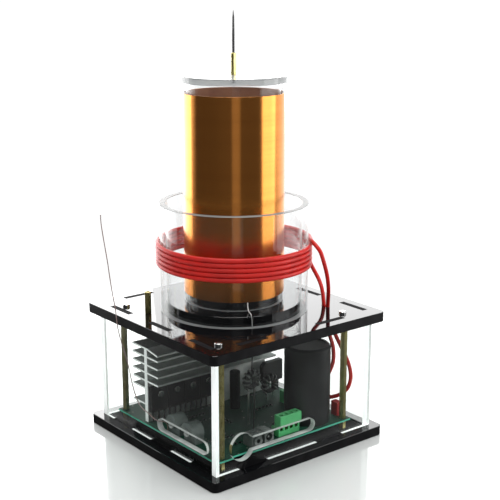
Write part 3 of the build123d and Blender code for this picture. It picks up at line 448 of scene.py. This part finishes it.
@dataclass(frozen=True)
class CircuitLaminate(Finish):
    """Green solder mask over copper tracks and pads, with a bare glass-fibre edge."""

    name: str = "circuit_laminate"
    mask: Colour = (0.01, 0.055, 0.034)
    track: Colour = (0.018, 0.1, 0.06)
    pad: Colour = (0.55, 0.55, 0.5)
    edge: Colour = (0.09, 0.55, 0.38)
    edge_low: float = 16.1 * MM
    edge_high: float = 17.5 * MM

    def paint(self, bench: Bench) -> None:
        """Brick-like tracks, round pads, and the edge by height."""
        bricks = bench.node("ShaderNodeTexBrick", {"offset": 0.37, "squash": 1.6}, {
            "Vector": bench.place(), "Scale": 95.0, "Mortar Size": 0.06, "Mortar Smooth": 0.1,
            "Brick Width": 1.4, "Row Height": 0.32})
        tracks = Reading(bench, bricks.outputs[1])
        region = bench.noise(28.0, 1.0).step(0.42, 0.55)
        tracks = tracks * region
        pads = bench.specks(260.0, 0.22, 0.22)
        weave = bench.noise(1800.0, 2.0)
        colour = bench.mix(bench.mix(self.mask, self.track, tracks), self.pad, pads)
        height = bench.axis("Z")
        side = height.step(self.edge_low, self.edge_low + 0.00005) * height.step(
            self.edge_high, self.edge_high - 0.00005)
        colour = bench.mix(colour, self.edge, side)
        relief = tracks * 0.6 + pads + weave * 0.1
        bench.close(bench.shader(
            Base_Color=colour, Metallic=pads * 0.8, Roughness=0.45 + weave * 0.1 + side * 0.1, IOR=1.4,
            Normal=bench.bump(relief, 0.00005, 0.5)))


@dataclass(frozen=True)
class BandedResistor(Finish):
    """A pale blue film resistor body with painted rings across X and tinned ends."""

    name: str = "banded_resistor"
    centre: float = 14.0 * MM
    half: float = 3.2 * MM
    body: Colour = (0.13, 0.3, 0.42)
    wire: Colour = (0.75, 0.74, 0.7)
    rings: tuple[tuple[float, Colour], ...] = (
        (-2.2, (0.3, 0.09, 0.02)), (-1.2, (0.02, 0.02, 0.02)), (-0.3, (0.5, 0.03, 0.02)),
        (0.6, (0.85, 0.4, 0.03)), (2.1, (0.35, 0.2, 0.02)))

    def paint(self, bench: Bench) -> None:
        """Rings by distance along the body."""
        along = bench.axis("X") - self.centre
        colour: object = self.body
        for place, ring in self.rings:
            colour = bench.mix(colour, ring, abs(along - place * MM).step(0.00032, 0.00026))
        ends = abs(along).step(self.half - 0.00005, self.half + 0.00005)
        grain = bench.noise(1500.0, 3.0)
        bench.close(bench.shader(
            Base_Color=bench.mix(colour, self.wire, ends), Metallic=ends, Roughness=0.35 + grain * 0.15,
            Normal=bench.bump(grain, 0.00002, 0.4)))


@dataclass(frozen=True)
class SleevedWire(Finish):
    """A white wire that wears a black sleeve under the deck."""

    name: str = "white_wire"
    bare: Colour = (0.85, 0.85, 0.83)
    sleeve: Colour = (0.02, 0.021, 0.021)
    sleeve_top: float = 100.0 * MM

    def paint(self, bench: Bench) -> None:
        """White or black by height, with a fine grain."""
        grain = bench.noise(2200.0, 2.0)
        sleeved = bench.axis("Z").step(self.sleeve_top + 0.0001, self.sleeve_top - 0.0001)
        bench.close(bench.shader(
            Base_Color=bench.mix(self.bare, self.sleeve, sleeved), Roughness=0.35 + grain * 0.12,
            Normal=bench.bump(grain, 0.00001, 0.4)))


@dataclass(frozen=True)
class StudioFloor(Finish):
    """The pale floor: darker near the part as painted shade, satin, bright far off, and a painted backdrop glow
    to mirrored rays.
    """

    name: str = "studio_floor"
    # near: the darker colour round the part, painted shade in place of the part's shadow and dark reflection.
    near: Colour = (0.66, 0.68, 0.67)
    far: Colour = (1.0, 1.0, 1.0)
    room: float = ROOM
    # backdrop, backdrop_from and room set the painted glow that mirrored rays see.
    backdrop: float = 1.4
    glow: float = 1.05
    glow_behind: tuple[float, float] = (-0.1, 1.1)
    glow_round: tuple[float, float] = (0.25, 0.5)
    backdrop_from: tuple[float, float] = (0.0, 0.7)

    def paint(self, bench: Bench) -> None:
        """A slightly glossy sheet, darker near the part as painted shade, whose own light grows with the distance
        from the part.
        """
        x, y = bench.axis("X"), bench.axis("Y")
        away = x * math.cos(HEADING) + y * math.sin(HEADING)
        reach = (x * x + y * y) ** 0.5
        grow = away.step(*self.glow_behind).larger(reach.step(*self.glow_round))
        colour = bench.mix(self.near, self.far, grow)
        paper = bench.noise(600.0, 3.0)
        glow = bench.node("ShaderNodeEmission", None, {"Color": colour, "Strength": self.glow}).outputs[0]
        satin = bench.shader(
            Base_Color=colour, Roughness=0.07 + paper * 0.03, IOR=1.9,
            Normal=bench.bump(paper, 0.00001, 0.2))
        # Mirrored rays see painted light: a glow that is bright behind the part and dim elsewhere, standing in
        # for a backdrop.
        mirrored = bench.node("ShaderNodeEmission", None, {
            "Color": self.far, "Strength": away.step(*self.backdrop_from) * self.backdrop + self.room}).outputs[0]
        bench.close(bench.blend(bench.blend(satin, glow, grow), mirrored, bench.reflected()))


CLEAR_WALL = ClearSheet()
# edge sets the amount of painted grey glow at grazing angles on the tubes and the cap.
CLEAR_TUBE = ClearSheet(name=SheetLook.TUBE.value, tint=(0.985, 0.99, 0.99), haze=0.008, edge=0.6,
                        straight=True)
CLEAR_CAP = ClearSheet(name=SheetLook.CAP.value, tint=(0.985, 0.99, 0.99), haze=0.008, edge=0.4)
# Cut edges and rims glow by emission: painted light on the walls' edges and the tube rims.
CUT_EDGE = CutEdge()
TUBE_RIM = CutEdge("tube_rim", (0.22, 0.23, 0.23), (0.15, 0.16, 0.16), 0.06, 0.1)
# Openings' rims: painted glow that lifts the rims out of the deck's shadow.
OPENING_RIM = CutEdge("opening_rim", (0.62, 0.66, 0.64), (0.16, 0.18, 0.17), 0.2, 0.8)
# The heatsink's sawn ends: white, non-metal and glowing, a painted highlight in place of lit aluminium.
GLOWING_SAWN_ALUMINIUM = CutEdge("sawn_aluminium_painted_glow", (0.9, 0.93, 0.92), (0.8, 0.84, 0.82), 0.2, 0.0)
BLACK_EDGE = Moulded("black_sawn_edge", (0.006, 0.006, 0.007), (0.012, 0.012, 0.013), 0.5, worn=0.03,
                     ior=1.25)
TAB_EDGE = Moulded("tab_in_slot", (0.004, 0.004, 0.005), (0.008, 0.008, 0.009), 0.7, worn=0.01, ior=1.2)
BLACK_SHEET = BlackSheet()
BRASS = Metal("brass", (0.78, 0.7, 0.31), (0.62, 0.54, 0.2), 0.22, marks=(0.3, 0.24, 0.1))
ZINC = Metal("zinc_steel", (0.78, 0.78, 0.77), (0.62, 0.63, 0.64), 0.16, marked=0.1)
DARK_STEEL = Metal("needle_steel", (0.2, 0.2, 0.2), (0.12, 0.12, 0.125), 0.3)
DRAWN_ALUMINIUM = Metal("drawn_aluminium", (0.8, 0.84, 0.82), (0.7, 0.73, 0.72), 0.42, lines=(0.02, 1.0, 1.0),
                        lines_per_metre=3000.0, lines_depth=0.00003, marks=(0.4, 0.4, 0.4), marked=0.15)
# A darker copy of the drawn aluminium: painted shade on the heatsink's fins beyond the web.
SHADED_ALUMINIUM = Metal("painted_shade_aluminium", (0.24, 0.26, 0.25), (0.17, 0.19, 0.18), 0.55, lines=(0.02, 1.0, 1.0),
                       lines_per_metre=3000.0, lines_depth=0.00003, marks=(0.12, 0.12, 0.12), marked=0.3)
TINNED = Metal("tinned_wire", (0.8, 0.79, 0.77), (0.68, 0.68, 0.67), 0.25, marked=0.1)
GREY_WIRE = Moulded("grey_wire", (0.15, 0.16, 0.155), (0.1, 0.105, 0.1), 0.35, coat=0.2, worn=0.04)
BLACK_PLASTIC = Moulded("black_plastic", (0.009, 0.009, 0.0095), (0.015, 0.015, 0.016), 0.45, worn=0.05)
SLEEVE = Moulded("capacitor_sleeve", (0.011, 0.011, 0.012), (0.016, 0.0165, 0.018), 0.34,
                 grain_depth=0.0, coat=0.1, worn=0.0)
FERRITE = Moulded("ferrite", (0.02, 0.02, 0.021), (0.035, 0.035, 0.035), 0.7, grain_depth=0.0001)
RED_BOX = Moulded("red_box", (0.45, 0.013, 0.009), (0.36, 0.01, 0.007), 0.3, coat=0.3, worn=0.05)
SOCKET_SHELL = Moulded("socket_shell", (0.13, 0.15, 0.14), (0.07, 0.085, 0.08), 0.15, coat=1.0)
GREEN_TERMINAL = Moulded("green_terminal", (0.1, 0.56, 0.2), (0.08, 0.48, 0.17), 0.4)
CONTROL_BODY = Moulded("control_body", (0.16, 0.19, 0.18), (0.08, 0.1, 0.09), 0.2, coat=0.8)
CONTROL_SHAFT = Moulded("control_shaft", (0.55, 0.58, 0.56), (0.46, 0.49, 0.47), 0.45)
GREY_PAD = Moulded("grey_pad", (0.4, 0.4, 0.41), (0.33, 0.33, 0.34), 0.8)
RED_SILICONE = Moulded("red_silicone", (0.62, 0.008, 0.004), (0.5, 0.006, 0.003), 0.38, worn=0.0)
WHITE_WIRE = SleevedWire()
AERIAL_WIRE = Moulded("aerial_wire", (0.3, 0.24, 0.23), (0.24, 0.15, 0.13), 0.35)
COPPER = CopperTurns()
COPPER_BACK = Moulded("copper_back", (0.36, 0.16, 0.09), (0.28, 0.12, 0.07), 0.45, worn=0.05)
LAMINATE = CircuitLaminate()
RESISTOR = BandedResistor()
SOLDER = Metal("solder", (0.72, 0.72, 0.72), (0.6, 0.6, 0.61), 0.22, lines=(1.0, 1.0, 1.0))


# ---------------------------------------------------------------- shapes
def smooth_all(shape: bmesh.types.BMesh, sharp_over: float = 0.6) -> None:
    """Shades every face smooth and keeps the edges that turn more than sharp_over radians crisp."""
    for face in shape.faces:
        face.smooth = True
    for edge in shape.edges:
        if len(edge.link_faces) == 2:
            edge.smooth = edge.calc_face_angle(0.0) < sharp_over


def cad_copy(node: str) -> bmesh.types.BMesh:
    """A merged copy of a CAD node's mesh, smooth with crisp edges."""
    shape = bmesh.new()
    shape.from_mesh(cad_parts[node].data)
    bmesh.ops.remove_doubles(shape, verts=shape.verts, dist=0.000002)
    smooth_all(shape)
    return shape


def turned(profile: Iterable[tuple[float, float]], steps: int = 160) -> bmesh.types.BMesh:
    """A closed ring spun about Z.

    Args:
        profile: the corners (radius, height) of its section, in mm, in order.
        steps: facets round the ring.
    Returns:
        The shape, in metres.
    """
    shape = bmesh.new()
    corners = [shape.verts.new((r * MM, 0.0, z * MM)) for r, z in profile]
    edges = [shape.edges.new((a, b)) for a, b in zip(corners, corners[1:] + corners[:1])]
    bmesh.ops.spin(shape, geom=corners + edges, cent=(0, 0, 0), axis=(0, 0, 1), angle=2 * math.pi,
                   steps=steps, use_merge=True)
    bmesh.ops.remove_doubles(shape, verts=shape.verts, dist=0.000001)
    bmesh.ops.recalc_face_normals(shape, faces=shape.faces)
    smooth_all(shape)
    return shape


def mark(shape: bmesh.types.BMesh, choose: Callable[[bmesh.types.BMFace], int]) -> None:
    """Gives each face the material number that choose says."""
    shape.normal_update()
    for face in shape.faces:
        face.material_index = choose(face)


def swell(shape: bmesh.types.BMesh, amount: float) -> None:
    """Moves every point out along its normal by amount, in mm."""
    shape.normal_update()
    for vert in shape.verts:
        vert.co += vert.normal * amount * MM


def box_at(shape: bmesh.types.BMesh, low: Colour, high: Colour) -> None:
    """Adds a box between two corners, in mm."""
    size = Vector(high) - Vector(low)
    middle = (Vector(high) + Vector(low)) / 2
    made = bmesh.ops.create_cube(shape, size=1.0)["verts"]
    bmesh.ops.scale(shape, vec=size * MM, verts=made)
    bmesh.ops.translate(shape, vec=middle * MM, verts=made)


def lift_rim(shape: bmesh.types.BMesh, height: float, amount: float) -> None:
    """Moves the points at one height by amount, both in mm, so that two pieces never share a plane."""
    for vert in shape.verts:
        if abs(vert.co.z - height * MM) < 0.00001:
            vert.co.z += amount * MM


def settle(shape: bmesh.types.BMesh, name: str, finishes: list[Finish],
           stands_for: Iterable[str] = (), body: str = ROOT) -> bpy.types.Object:
    """Makes the shape a piece of the part.

    Args:
        shape: the mesh, freed here.
        name: the piece's name.
        finishes: one finish per material number.
        stands_for: the CAD nodes that it replaces.
        body: the body that it rides on.
    Returns:
        The piece.
    """
    mesh = bpy.data.meshes.new(name)
    shape.to_mesh(mesh)
    shape.free()
    piece = bpy.data.objects.new(name, mesh)
    bpy.context.scene.collection.objects.link(piece)
    for finish in finishes:
        mesh.materials.append(finish.material())
    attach(piece, body)
    if stands_for:
        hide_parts(*stands_for)
    log.info("%s: %d faces", name, len(mesh.polygons))
    return piece


def dress(finish: Finish, *nodes: str) -> None:
    """Gives CAD nodes whose shape is right a finish."""
    for node in nodes:
        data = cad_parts[node].data
        data.materials.clear()
        data.materials.append(finish.material())
        log.info("%s: %s", node, finish.name)


# ---------------------------------------------------------------- sub-assemblies
@dataclass
class Case:
    """Two black plates, and the four clear walls between them whose tabs fill the plates' slots."""

    base_top: float = 8.0
    deck_under: float = 98.6
    seat: float = 0.06
    rim_within: float = 73.0
    edge_from: float = 85.0

    def build(self) -> None:
        """Walls with clear faces, dull edges with a painted glow and dark tabs, and the plates' finish."""
        for plate in ("base_plate", "deck_plate"):
            shape = cad_copy(plate)
            mark(shape, lambda face: int(abs(face.normal.z) < 0.6 and self._outside(face)))
            settle(shape, f"{plate}_sheet", [BLACK_SHEET, BLACK_EDGE], [plate])
        self._wall("keyhole_wall", 1)
        self._wall("back_wall", 1)
        self._wall("slotted_wall", 0)
        self._wall("right_wall", 0)

    def _outside(self, face: bmesh.types.BMFace) -> bool:
        """Whether a face is on a plate's outer edge."""
        middle = face.calc_center_median()
        return max(abs(middle.x), abs(middle.y)) > self.edge_from * MM

    def _wall(self, node: str, across: int) -> None:
        """One wall: across is the axis, 0 or 1, that its clear faces look along."""
        shape = cad_copy(node)
        low, high = self.base_top * MM, self.deck_under * MM
        along = 1 - across

        def part(face: bmesh.types.BMFace) -> int:
            """0 for a clear face, 1 for a cut edge, 2 for a tab in its slot, 3 for an opening's rim."""
            middle = face.calc_center_median()
            if middle.z < low - 0.0001 or middle.z > high + 0.0001:
                return 2
            if abs(face.normal[across]) > 0.9 or face.normal.x > 0.9 and across == 1:
                return 0
            inside = abs(middle[along]) < self.rim_within * MM and low + 0.002 < middle.z < high - 0.002
            return 3 if inside else 1

        mark(shape, part)
        lift_rim(shape, self.base_top, self.seat)
        lift_rim(shape, self.deck_under, -self.seat)
        settle(shape, f"{node}_sheet", [CLEAR_WALL, CUT_EDGE, TAB_EDGE, OPENING_RIM],
               [node])


@dataclass
class Stacks:
    """The brass posts and their screws."""

    def build(self) -> None:
        """Brass and zinc."""
        dress(BRASS, "base_spacers", "lower_posts", "middle_posts", "upper_posts")
        dress(ZINC, "base_screws", "deck_screws")


@dataclass
class BoardAssembly:
    """The circuit board and what stands on it."""

    board_top: float = 17.6
    web_far: float = 23.9
    seat: float = 0.05
    small_rows: tuple[tuple[float, float, float, float, int], ...] = (
        (-58.0, -42.0, 4.2, 0.0, 6), (-52.0, -5.0, 5.0, 0.0, 5), (-50.0, 6.0, 3.6, 0.0, 8),
        (-18.0, -58.0, 0.0, 4.6, 3), (4.0, -44.0, 3.4, 0.0, 3), (-22.0, -20.0, 0.0, 4.4, 4),
        (12.0, -12.0, 4.0, 0.0, 5), (24.0, 16.0, 4.6, 0.0, 3), (-44.0, -58.0, 4.4, 0.0, 3))

    def _heatsink(self) -> None:
        """The extrusion: sawn ends in white with a painted glow, drawn faces, and painted shade on the fins
        beyond the web.
        """
        shape = cad_copy("heatsink")
        painted_shade_from = self.web_far * MM
        # Ends take the glowing white; faces past painted_shade_from take the darker copy, which is painted shade.
        mark(shape, lambda face: 1 if abs(face.normal.x) > 0.9 else 2 * int(
            face.calc_center_median().y > painted_shade_from))
        settle(shape, "heatsink_extrusion", [DRAWN_ALUMINIUM, GLOWING_SAWN_ALUMINIUM, SHADED_ALUMINIUM],
               ["heatsink"])

    def _small_parts(self) -> None:
        """Rows of small chip parts with pale ends."""
        shape = bmesh.new()
        for x, y, dx, dy, count in self.small_rows:
            for i in range(count):
                self._small_part(shape, x + i * dx, y + i * dy, 1.0 if dx else 0.0)
        bmesh.ops.recalc_face_normals(shape, faces=shape.faces)
        settle(shape, "small_parts", [BLACK_PLASTIC, SOLDER])

    def _small_part(self, shape: bmesh.types.BMesh, x: float, y: float, upright: float) -> None:
        """One chip part: a dark middle and two pale ends, its length along Y when upright."""
        half = (0.7 + 0.3 * (1 - upright), 0.7 + 0.3 * upright)
        end = (half[0] + 0.6 * (1 - upright), half[1] + 0.6 * upright)
        low = self.board_top + self.seat
        box_at(shape, (x - half[0], y - half[1], low), (x + half[0], y + half[1], low + 0.75))
        for side in (-1, 1):
            before = set(shape.faces)
            cx = x + side * (half[0] + end[0]) / 2 * (1 - upright)
            cy = y + side * (half[1] + end[1]) / 2 * upright
            hx = 0.3 if not upright else half[0]
            hy = 0.3 if upright else half[1]
            box_at(shape, (cx - hx, cy - hy, low), (cx + hx, cy + hy, low + 0.6))
            for face in set(shape.faces) - before:
                face.material_index = 1

    def build(self) -> None:
        """Finishes of the board's parts."""
        dress(LAMINATE, "circuit_board")
        self._heatsink()
        self._small_parts()
        dress(GREY_PAD, "thermal_pad")
        dress(BLACK_PLASTIC, "power_transistors", "bridge_rectifier", "driver_chips")
        dress(SOCKET_SHELL, "signal_socket", "supply_socket")
        dress(ZINC, "transistor_screws")
        dress(SLEEVE, "reservoir_capacitor", "driver_capacitor")
        dress(RED_BOX, "film_capacitor")
        dress(RESISTOR, "resistors")
        dress(GREEN_TERMINAL, "primary_terminal")
        dress(CONTROL_BODY, "control_body_1", "control_body_2")
        dress(CONTROL_SHAFT, "control_shaft_1", "control_shaft_2")


@dataclass
class SupplyTerminal:
    """The four-way screw terminal with its clamps."""

    ways: int = 4

    def build(self) -> None:
        """Block, screws and cages."""
        dress(GREEN_TERMINAL, "terminal_block")
        for way in range(1, self.ways + 1):
            dress(ZINC, f"clamp_screw_{way}")
            dress(BRASS, f"clamp_cage_{way}")


@dataclass
class Rings:
    """The two wound ring cores."""

    sleeve: float = 0.34
    stripped_below: tuple[tuple[str, float], ...] = (("gate_ring", 21.0), ("sense_ring", 44.6))

    def _sleeve(self, shape: bmesh.types.BMesh, bare_top: float) -> None:
        """Gives the wire its sleeve, except where it is bare under bare_top, in mm."""
        shape.normal_update()
        for vert in shape.verts:
            if vert.co.z > bare_top * MM:
                vert.co += vert.normal * self.sleeve * MM
        mark(shape, lambda face: int(face.calc_center_median().z < bare_top * MM))

    def build(self) -> None:
        """Dark cores, grey turns, and bright legs under them."""
        dress(FERRITE, "gate_ring_core", "sense_ring_core")
        for ring, bare_top in self.stripped_below:
            shape = cad_copy(f"{ring}_winding")
            self._sleeve(shape, bare_top)
            settle(shape, f"{ring}_turns", [GREY_WIRE, TINNED], [f"{ring}_winding"])


@dataclass
class PrimaryCoil:
    """The wide clear tube with its five red turns and the black disc in it."""

    radius: float = 60.0
    wall: float = 5.0
    foot: float = 106.6
    top: float = 194.6
    seat: float = 0.06
    rim: float = 0.3
    wire_swell: float = 0.13
    turn_swell: float = 0.24
    turns_from: float = 130.0
    turns_within: float = 64.5

    def _on_tube(self, place: Vector) -> bool:
        """Whether a place on the wire is on one of the turns."""
        return place.z > self.turns_from * MM and place.xy.length < self.turns_within * MM

    def build(self) -> None:
        """Tube, winding and disc."""
        inner = self.radius - self.wall
        shape = turned([
            (inner, self.foot + self.seat), (self.radius, self.foot + self.seat),
            (self.radius, self.top - self.rim), (self.radius - self.rim, self.top),
            (inner + self.rim, self.top), (inner, self.top - self.rim)])
        mark(shape, lambda face: int(abs(face.normal.z) > 0.5))
        settle(shape, "primary_tube_sheet", [CLEAR_TUBE, TUBE_RIM], ["primary_tube"])
        wire = cad_copy("primary_winding")
        swell(wire, self.wire_swell)
        for vert in wire.verts:
            if self._on_tube(vert.co):
                vert.co.z += vert.normal.z * self.turn_swell * MM
        mark(wire, lambda face: 0)
        settle(wire, "primary_turns", [RED_SILICONE], ["primary_winding"])
        dress(BLACK_SHEET, "coil_disc", "coil_plug")
        dress(ZINC, "centre_bolt", "centre_nut")


@dataclass
class SecondaryCoil:
    """The tall clear tube, its copper layer, the clear cap and the white lead."""

    radius: float = 40.0
    wall: float = 3.0
    foot: float = 114.6
    top: float = 290.0
    seat: float = 0.06
    rim: float = 0.3
    layer: float = 0.5
    layer_play: float = 0.05
    layer_foot: float = 121.9
    layer_top: float = 281.8
    cap_radius: float = 42.5
    cap_top: float = 295.0
    cap_bore: float = 1.1

    def build(self) -> None:
        """Tube, layer, cap and lead."""
        self._tube()
        self._layer()
        self._cap()
        dress(WHITE_WIRE, "secondary_lead")

    def _tube(self) -> None:
        """The clear tube that carries the layer."""
        inner = self.radius - self.wall
        shape = turned([
            (inner, self.foot + self.seat), (self.radius, self.foot + self.seat),
            (self.radius, self.top - self.seat), (inner, self.top - self.seat)])
        mark(shape, lambda face: 1 if face.normal.z < -0.5 else 0)
        settle(shape, "secondary_tube_sheet", [CLEAR_TUBE, TUBE_RIM], ["secondary_tube"])

    def _layer(self) -> None:
        """The copper layer, shiny outside and dull towards the tube."""
        inner = self.radius + self.layer_play
        outer = inner + self.layer
        ease = 0.12
        shape = turned([
            (inner, self.layer_foot), (outer - ease, self.layer_foot), (outer, self.layer_foot + ease),
            (outer, self.layer_top - ease), (outer - ease, self.layer_top), (inner, self.layer_top)], 200)
        level = Vector((1, 1, 0))
        mark(shape, lambda face: int(face.normal.dot(face.calc_center_median() * level) < 0))
        settle(shape, "copper_layer", [COPPER, COPPER_BACK], ["secondary_winding"])

    def _cap(self) -> None:
        """The clear cap with a hole for the post's screw."""
        shape = turned([
            (self.cap_bore, self.top), (self.cap_radius - self.rim, self.top),
            (self.cap_radius, self.top + self.rim), (self.cap_radius, self.cap_top - self.rim),
            (self.cap_radius - self.rim, self.cap_top), (self.cap_bore, self.cap_top)])
        mark(shape, lambda face: 0)
        settle(shape, "top_cap_sheet", [CLEAR_CAP], ["top_cap"])


@dataclass
class MetalPoints:
    """The discharge post with its needle, the earth post and the aerial."""

    def build(self) -> None:
        """Brass, steel and wire."""
        dress(BRASS, "discharge_post", "earth_post")
        dress(ZINC, "cap_screw", "earth_screw")
        dress(DARK_STEEL, "discharge_needle")
        dress(AERIAL_WIRE, "pickup_aerial")


# ---------------------------------------------------------------- studio
@dataclass(frozen=True)
class SoftBox:
    """A soft light: its middle's bearing off the camera's side of the part, and its size."""

    name: str
    bearing: float
    distance: float
    height: float
    wide: float
    tall: float
    radiance: float
    colour: Colour = (1.0, 1.0, 1.0)

    def light(self) -> None:
        """Hangs the light and turns it to the part."""
        angle = FACING + math.radians(self.bearing)
        middle = Vector((math.cos(angle) * self.distance, math.sin(angle) * self.distance, self.height))
        data = bpy.data.lights.new(self.name, "AREA")
        data.shape = "RECTANGLE"
        data.size, data.size_y = self.wide, self.tall
        data.energy = self.radiance * math.pi * self.wide * self.tall
        data.color = self.colour
        lamp = bpy.data.objects.new(self.name, data)
        lamp.location = middle
        lamp.rotation_euler = (Vector((0, 0, 0.15)) - middle).to_track_quat("-Z", "Y").to_euler()
        lamp.visible_camera = False
        lamp.visible_transmission = False
        bpy.context.scene.collection.objects.link(lamp)


@dataclass
class Studio:
    """Floor, lights and camera."""

    eye: Vector = Vector((-0.52194, -0.66973, 0.36724))
    pitch: float = 0.2456
    lens: float = 77.79
    floor_half: float = 40.0
    floor_gap: float = 0.2
    fill: float = 0.3
    room: float = ROOM
    boxes: tuple[SoftBox, ...] = (
        SoftBox("overhead", 20.0, 0.12, 1.5, 1.4, 1.4, 4.0),
        SoftBox("back_card", 180.0, 2.0, 0.62, 1.9, 1.2, 3.6),
        SoftBox("left_back", -136.0, 0.5, 0.22, 0.62, 0.43, 2.5),
        SoftBox("right_side", 84.0, 0.5, 0.22, 0.35, 0.43, 2.4),
        SoftBox("front_card", 6.0, 0.5, 0.2, 0.15, 0.4, 0.25))

    def build(self) -> None:
        """Everything round the part."""
        self._floor()
        self._sky()
        for box in self.boxes:
            box.light()
        self._camera()
        view = bpy.context.scene.view_settings
        view.view_transform = "Standard"
        view.look = "None"
        bpy.context.scene.cycles.transparent_max_bounces = 24

    def _floor(self) -> None:
        """The floor just under the base."""
        shape = bmesh.new()
        bmesh.ops.create_grid(shape, x_segments=2, y_segments=2, size=self.floor_half)
        mesh = bpy.data.meshes.new("floor")
        shape.to_mesh(mesh)
        shape.free()
        floor = bpy.data.objects.new("floor", mesh)
        floor.location.z = -self.floor_gap * MM
        mesh.materials.append(StudioFloor().material())
        bpy.context.scene.collection.objects.link(floor)

    def _sky(self) -> None:
        """White to the eye, dim to reflections and soft as fill."""
        world = bpy.data.worlds.new("studio")
        world.cycles.sampling_method = "NONE"
        bpy.context.scene.world = world
        bench = Bench(world)
        path = bench.node("ShaderNodeLightPath")
        diffuse = Reading(bench, path.outputs["Is Diffuse Ray"])
        mirrored = bench.reflected()
        strength = mirrored * self.room + (1.0 - mirrored) * (1.0 - diffuse * (1.0 - self.fill))
        sky = bench.node("ShaderNodeBackground", None, {"Color": (1.0, 1.0, 1.0), "Strength": strength})
        bench.node("ShaderNodeOutputWorld", None, {"Surface": sky.outputs[0]})

    def _camera(self) -> None:
        """The photograph's viewpoint."""
        data = bpy.data.cameras.new("camera")
        data.lens = self.lens
        data.sensor_width = 36.0
        data.clip_end = 200.0
        camera = bpy.data.objects.new("camera", data)
        camera.location = self.eye
        camera.rotation_euler = (math.pi / 2 - self.pitch, 0.0, HEADING - math.pi / 2)
        bpy.context.scene.collection.objects.link(camera)
        bpy.context.scene.camera = camera


def main() -> None:
    """Builds and dresses every sub-assembly, then the studio."""
    logging.basicConfig(level=logging.INFO, format="%(name)s: %(message)s")
    for assembly in (Case(), Stacks(), BoardAssembly(), SupplyTerminal(), Rings(), PrimaryCoil(),
                     SecondaryCoil(), MetalPoints(), Studio()):
        log.info("building %s", type(assembly).__name__)
        assembly.build()


if __name__ == "__main__":
    main()
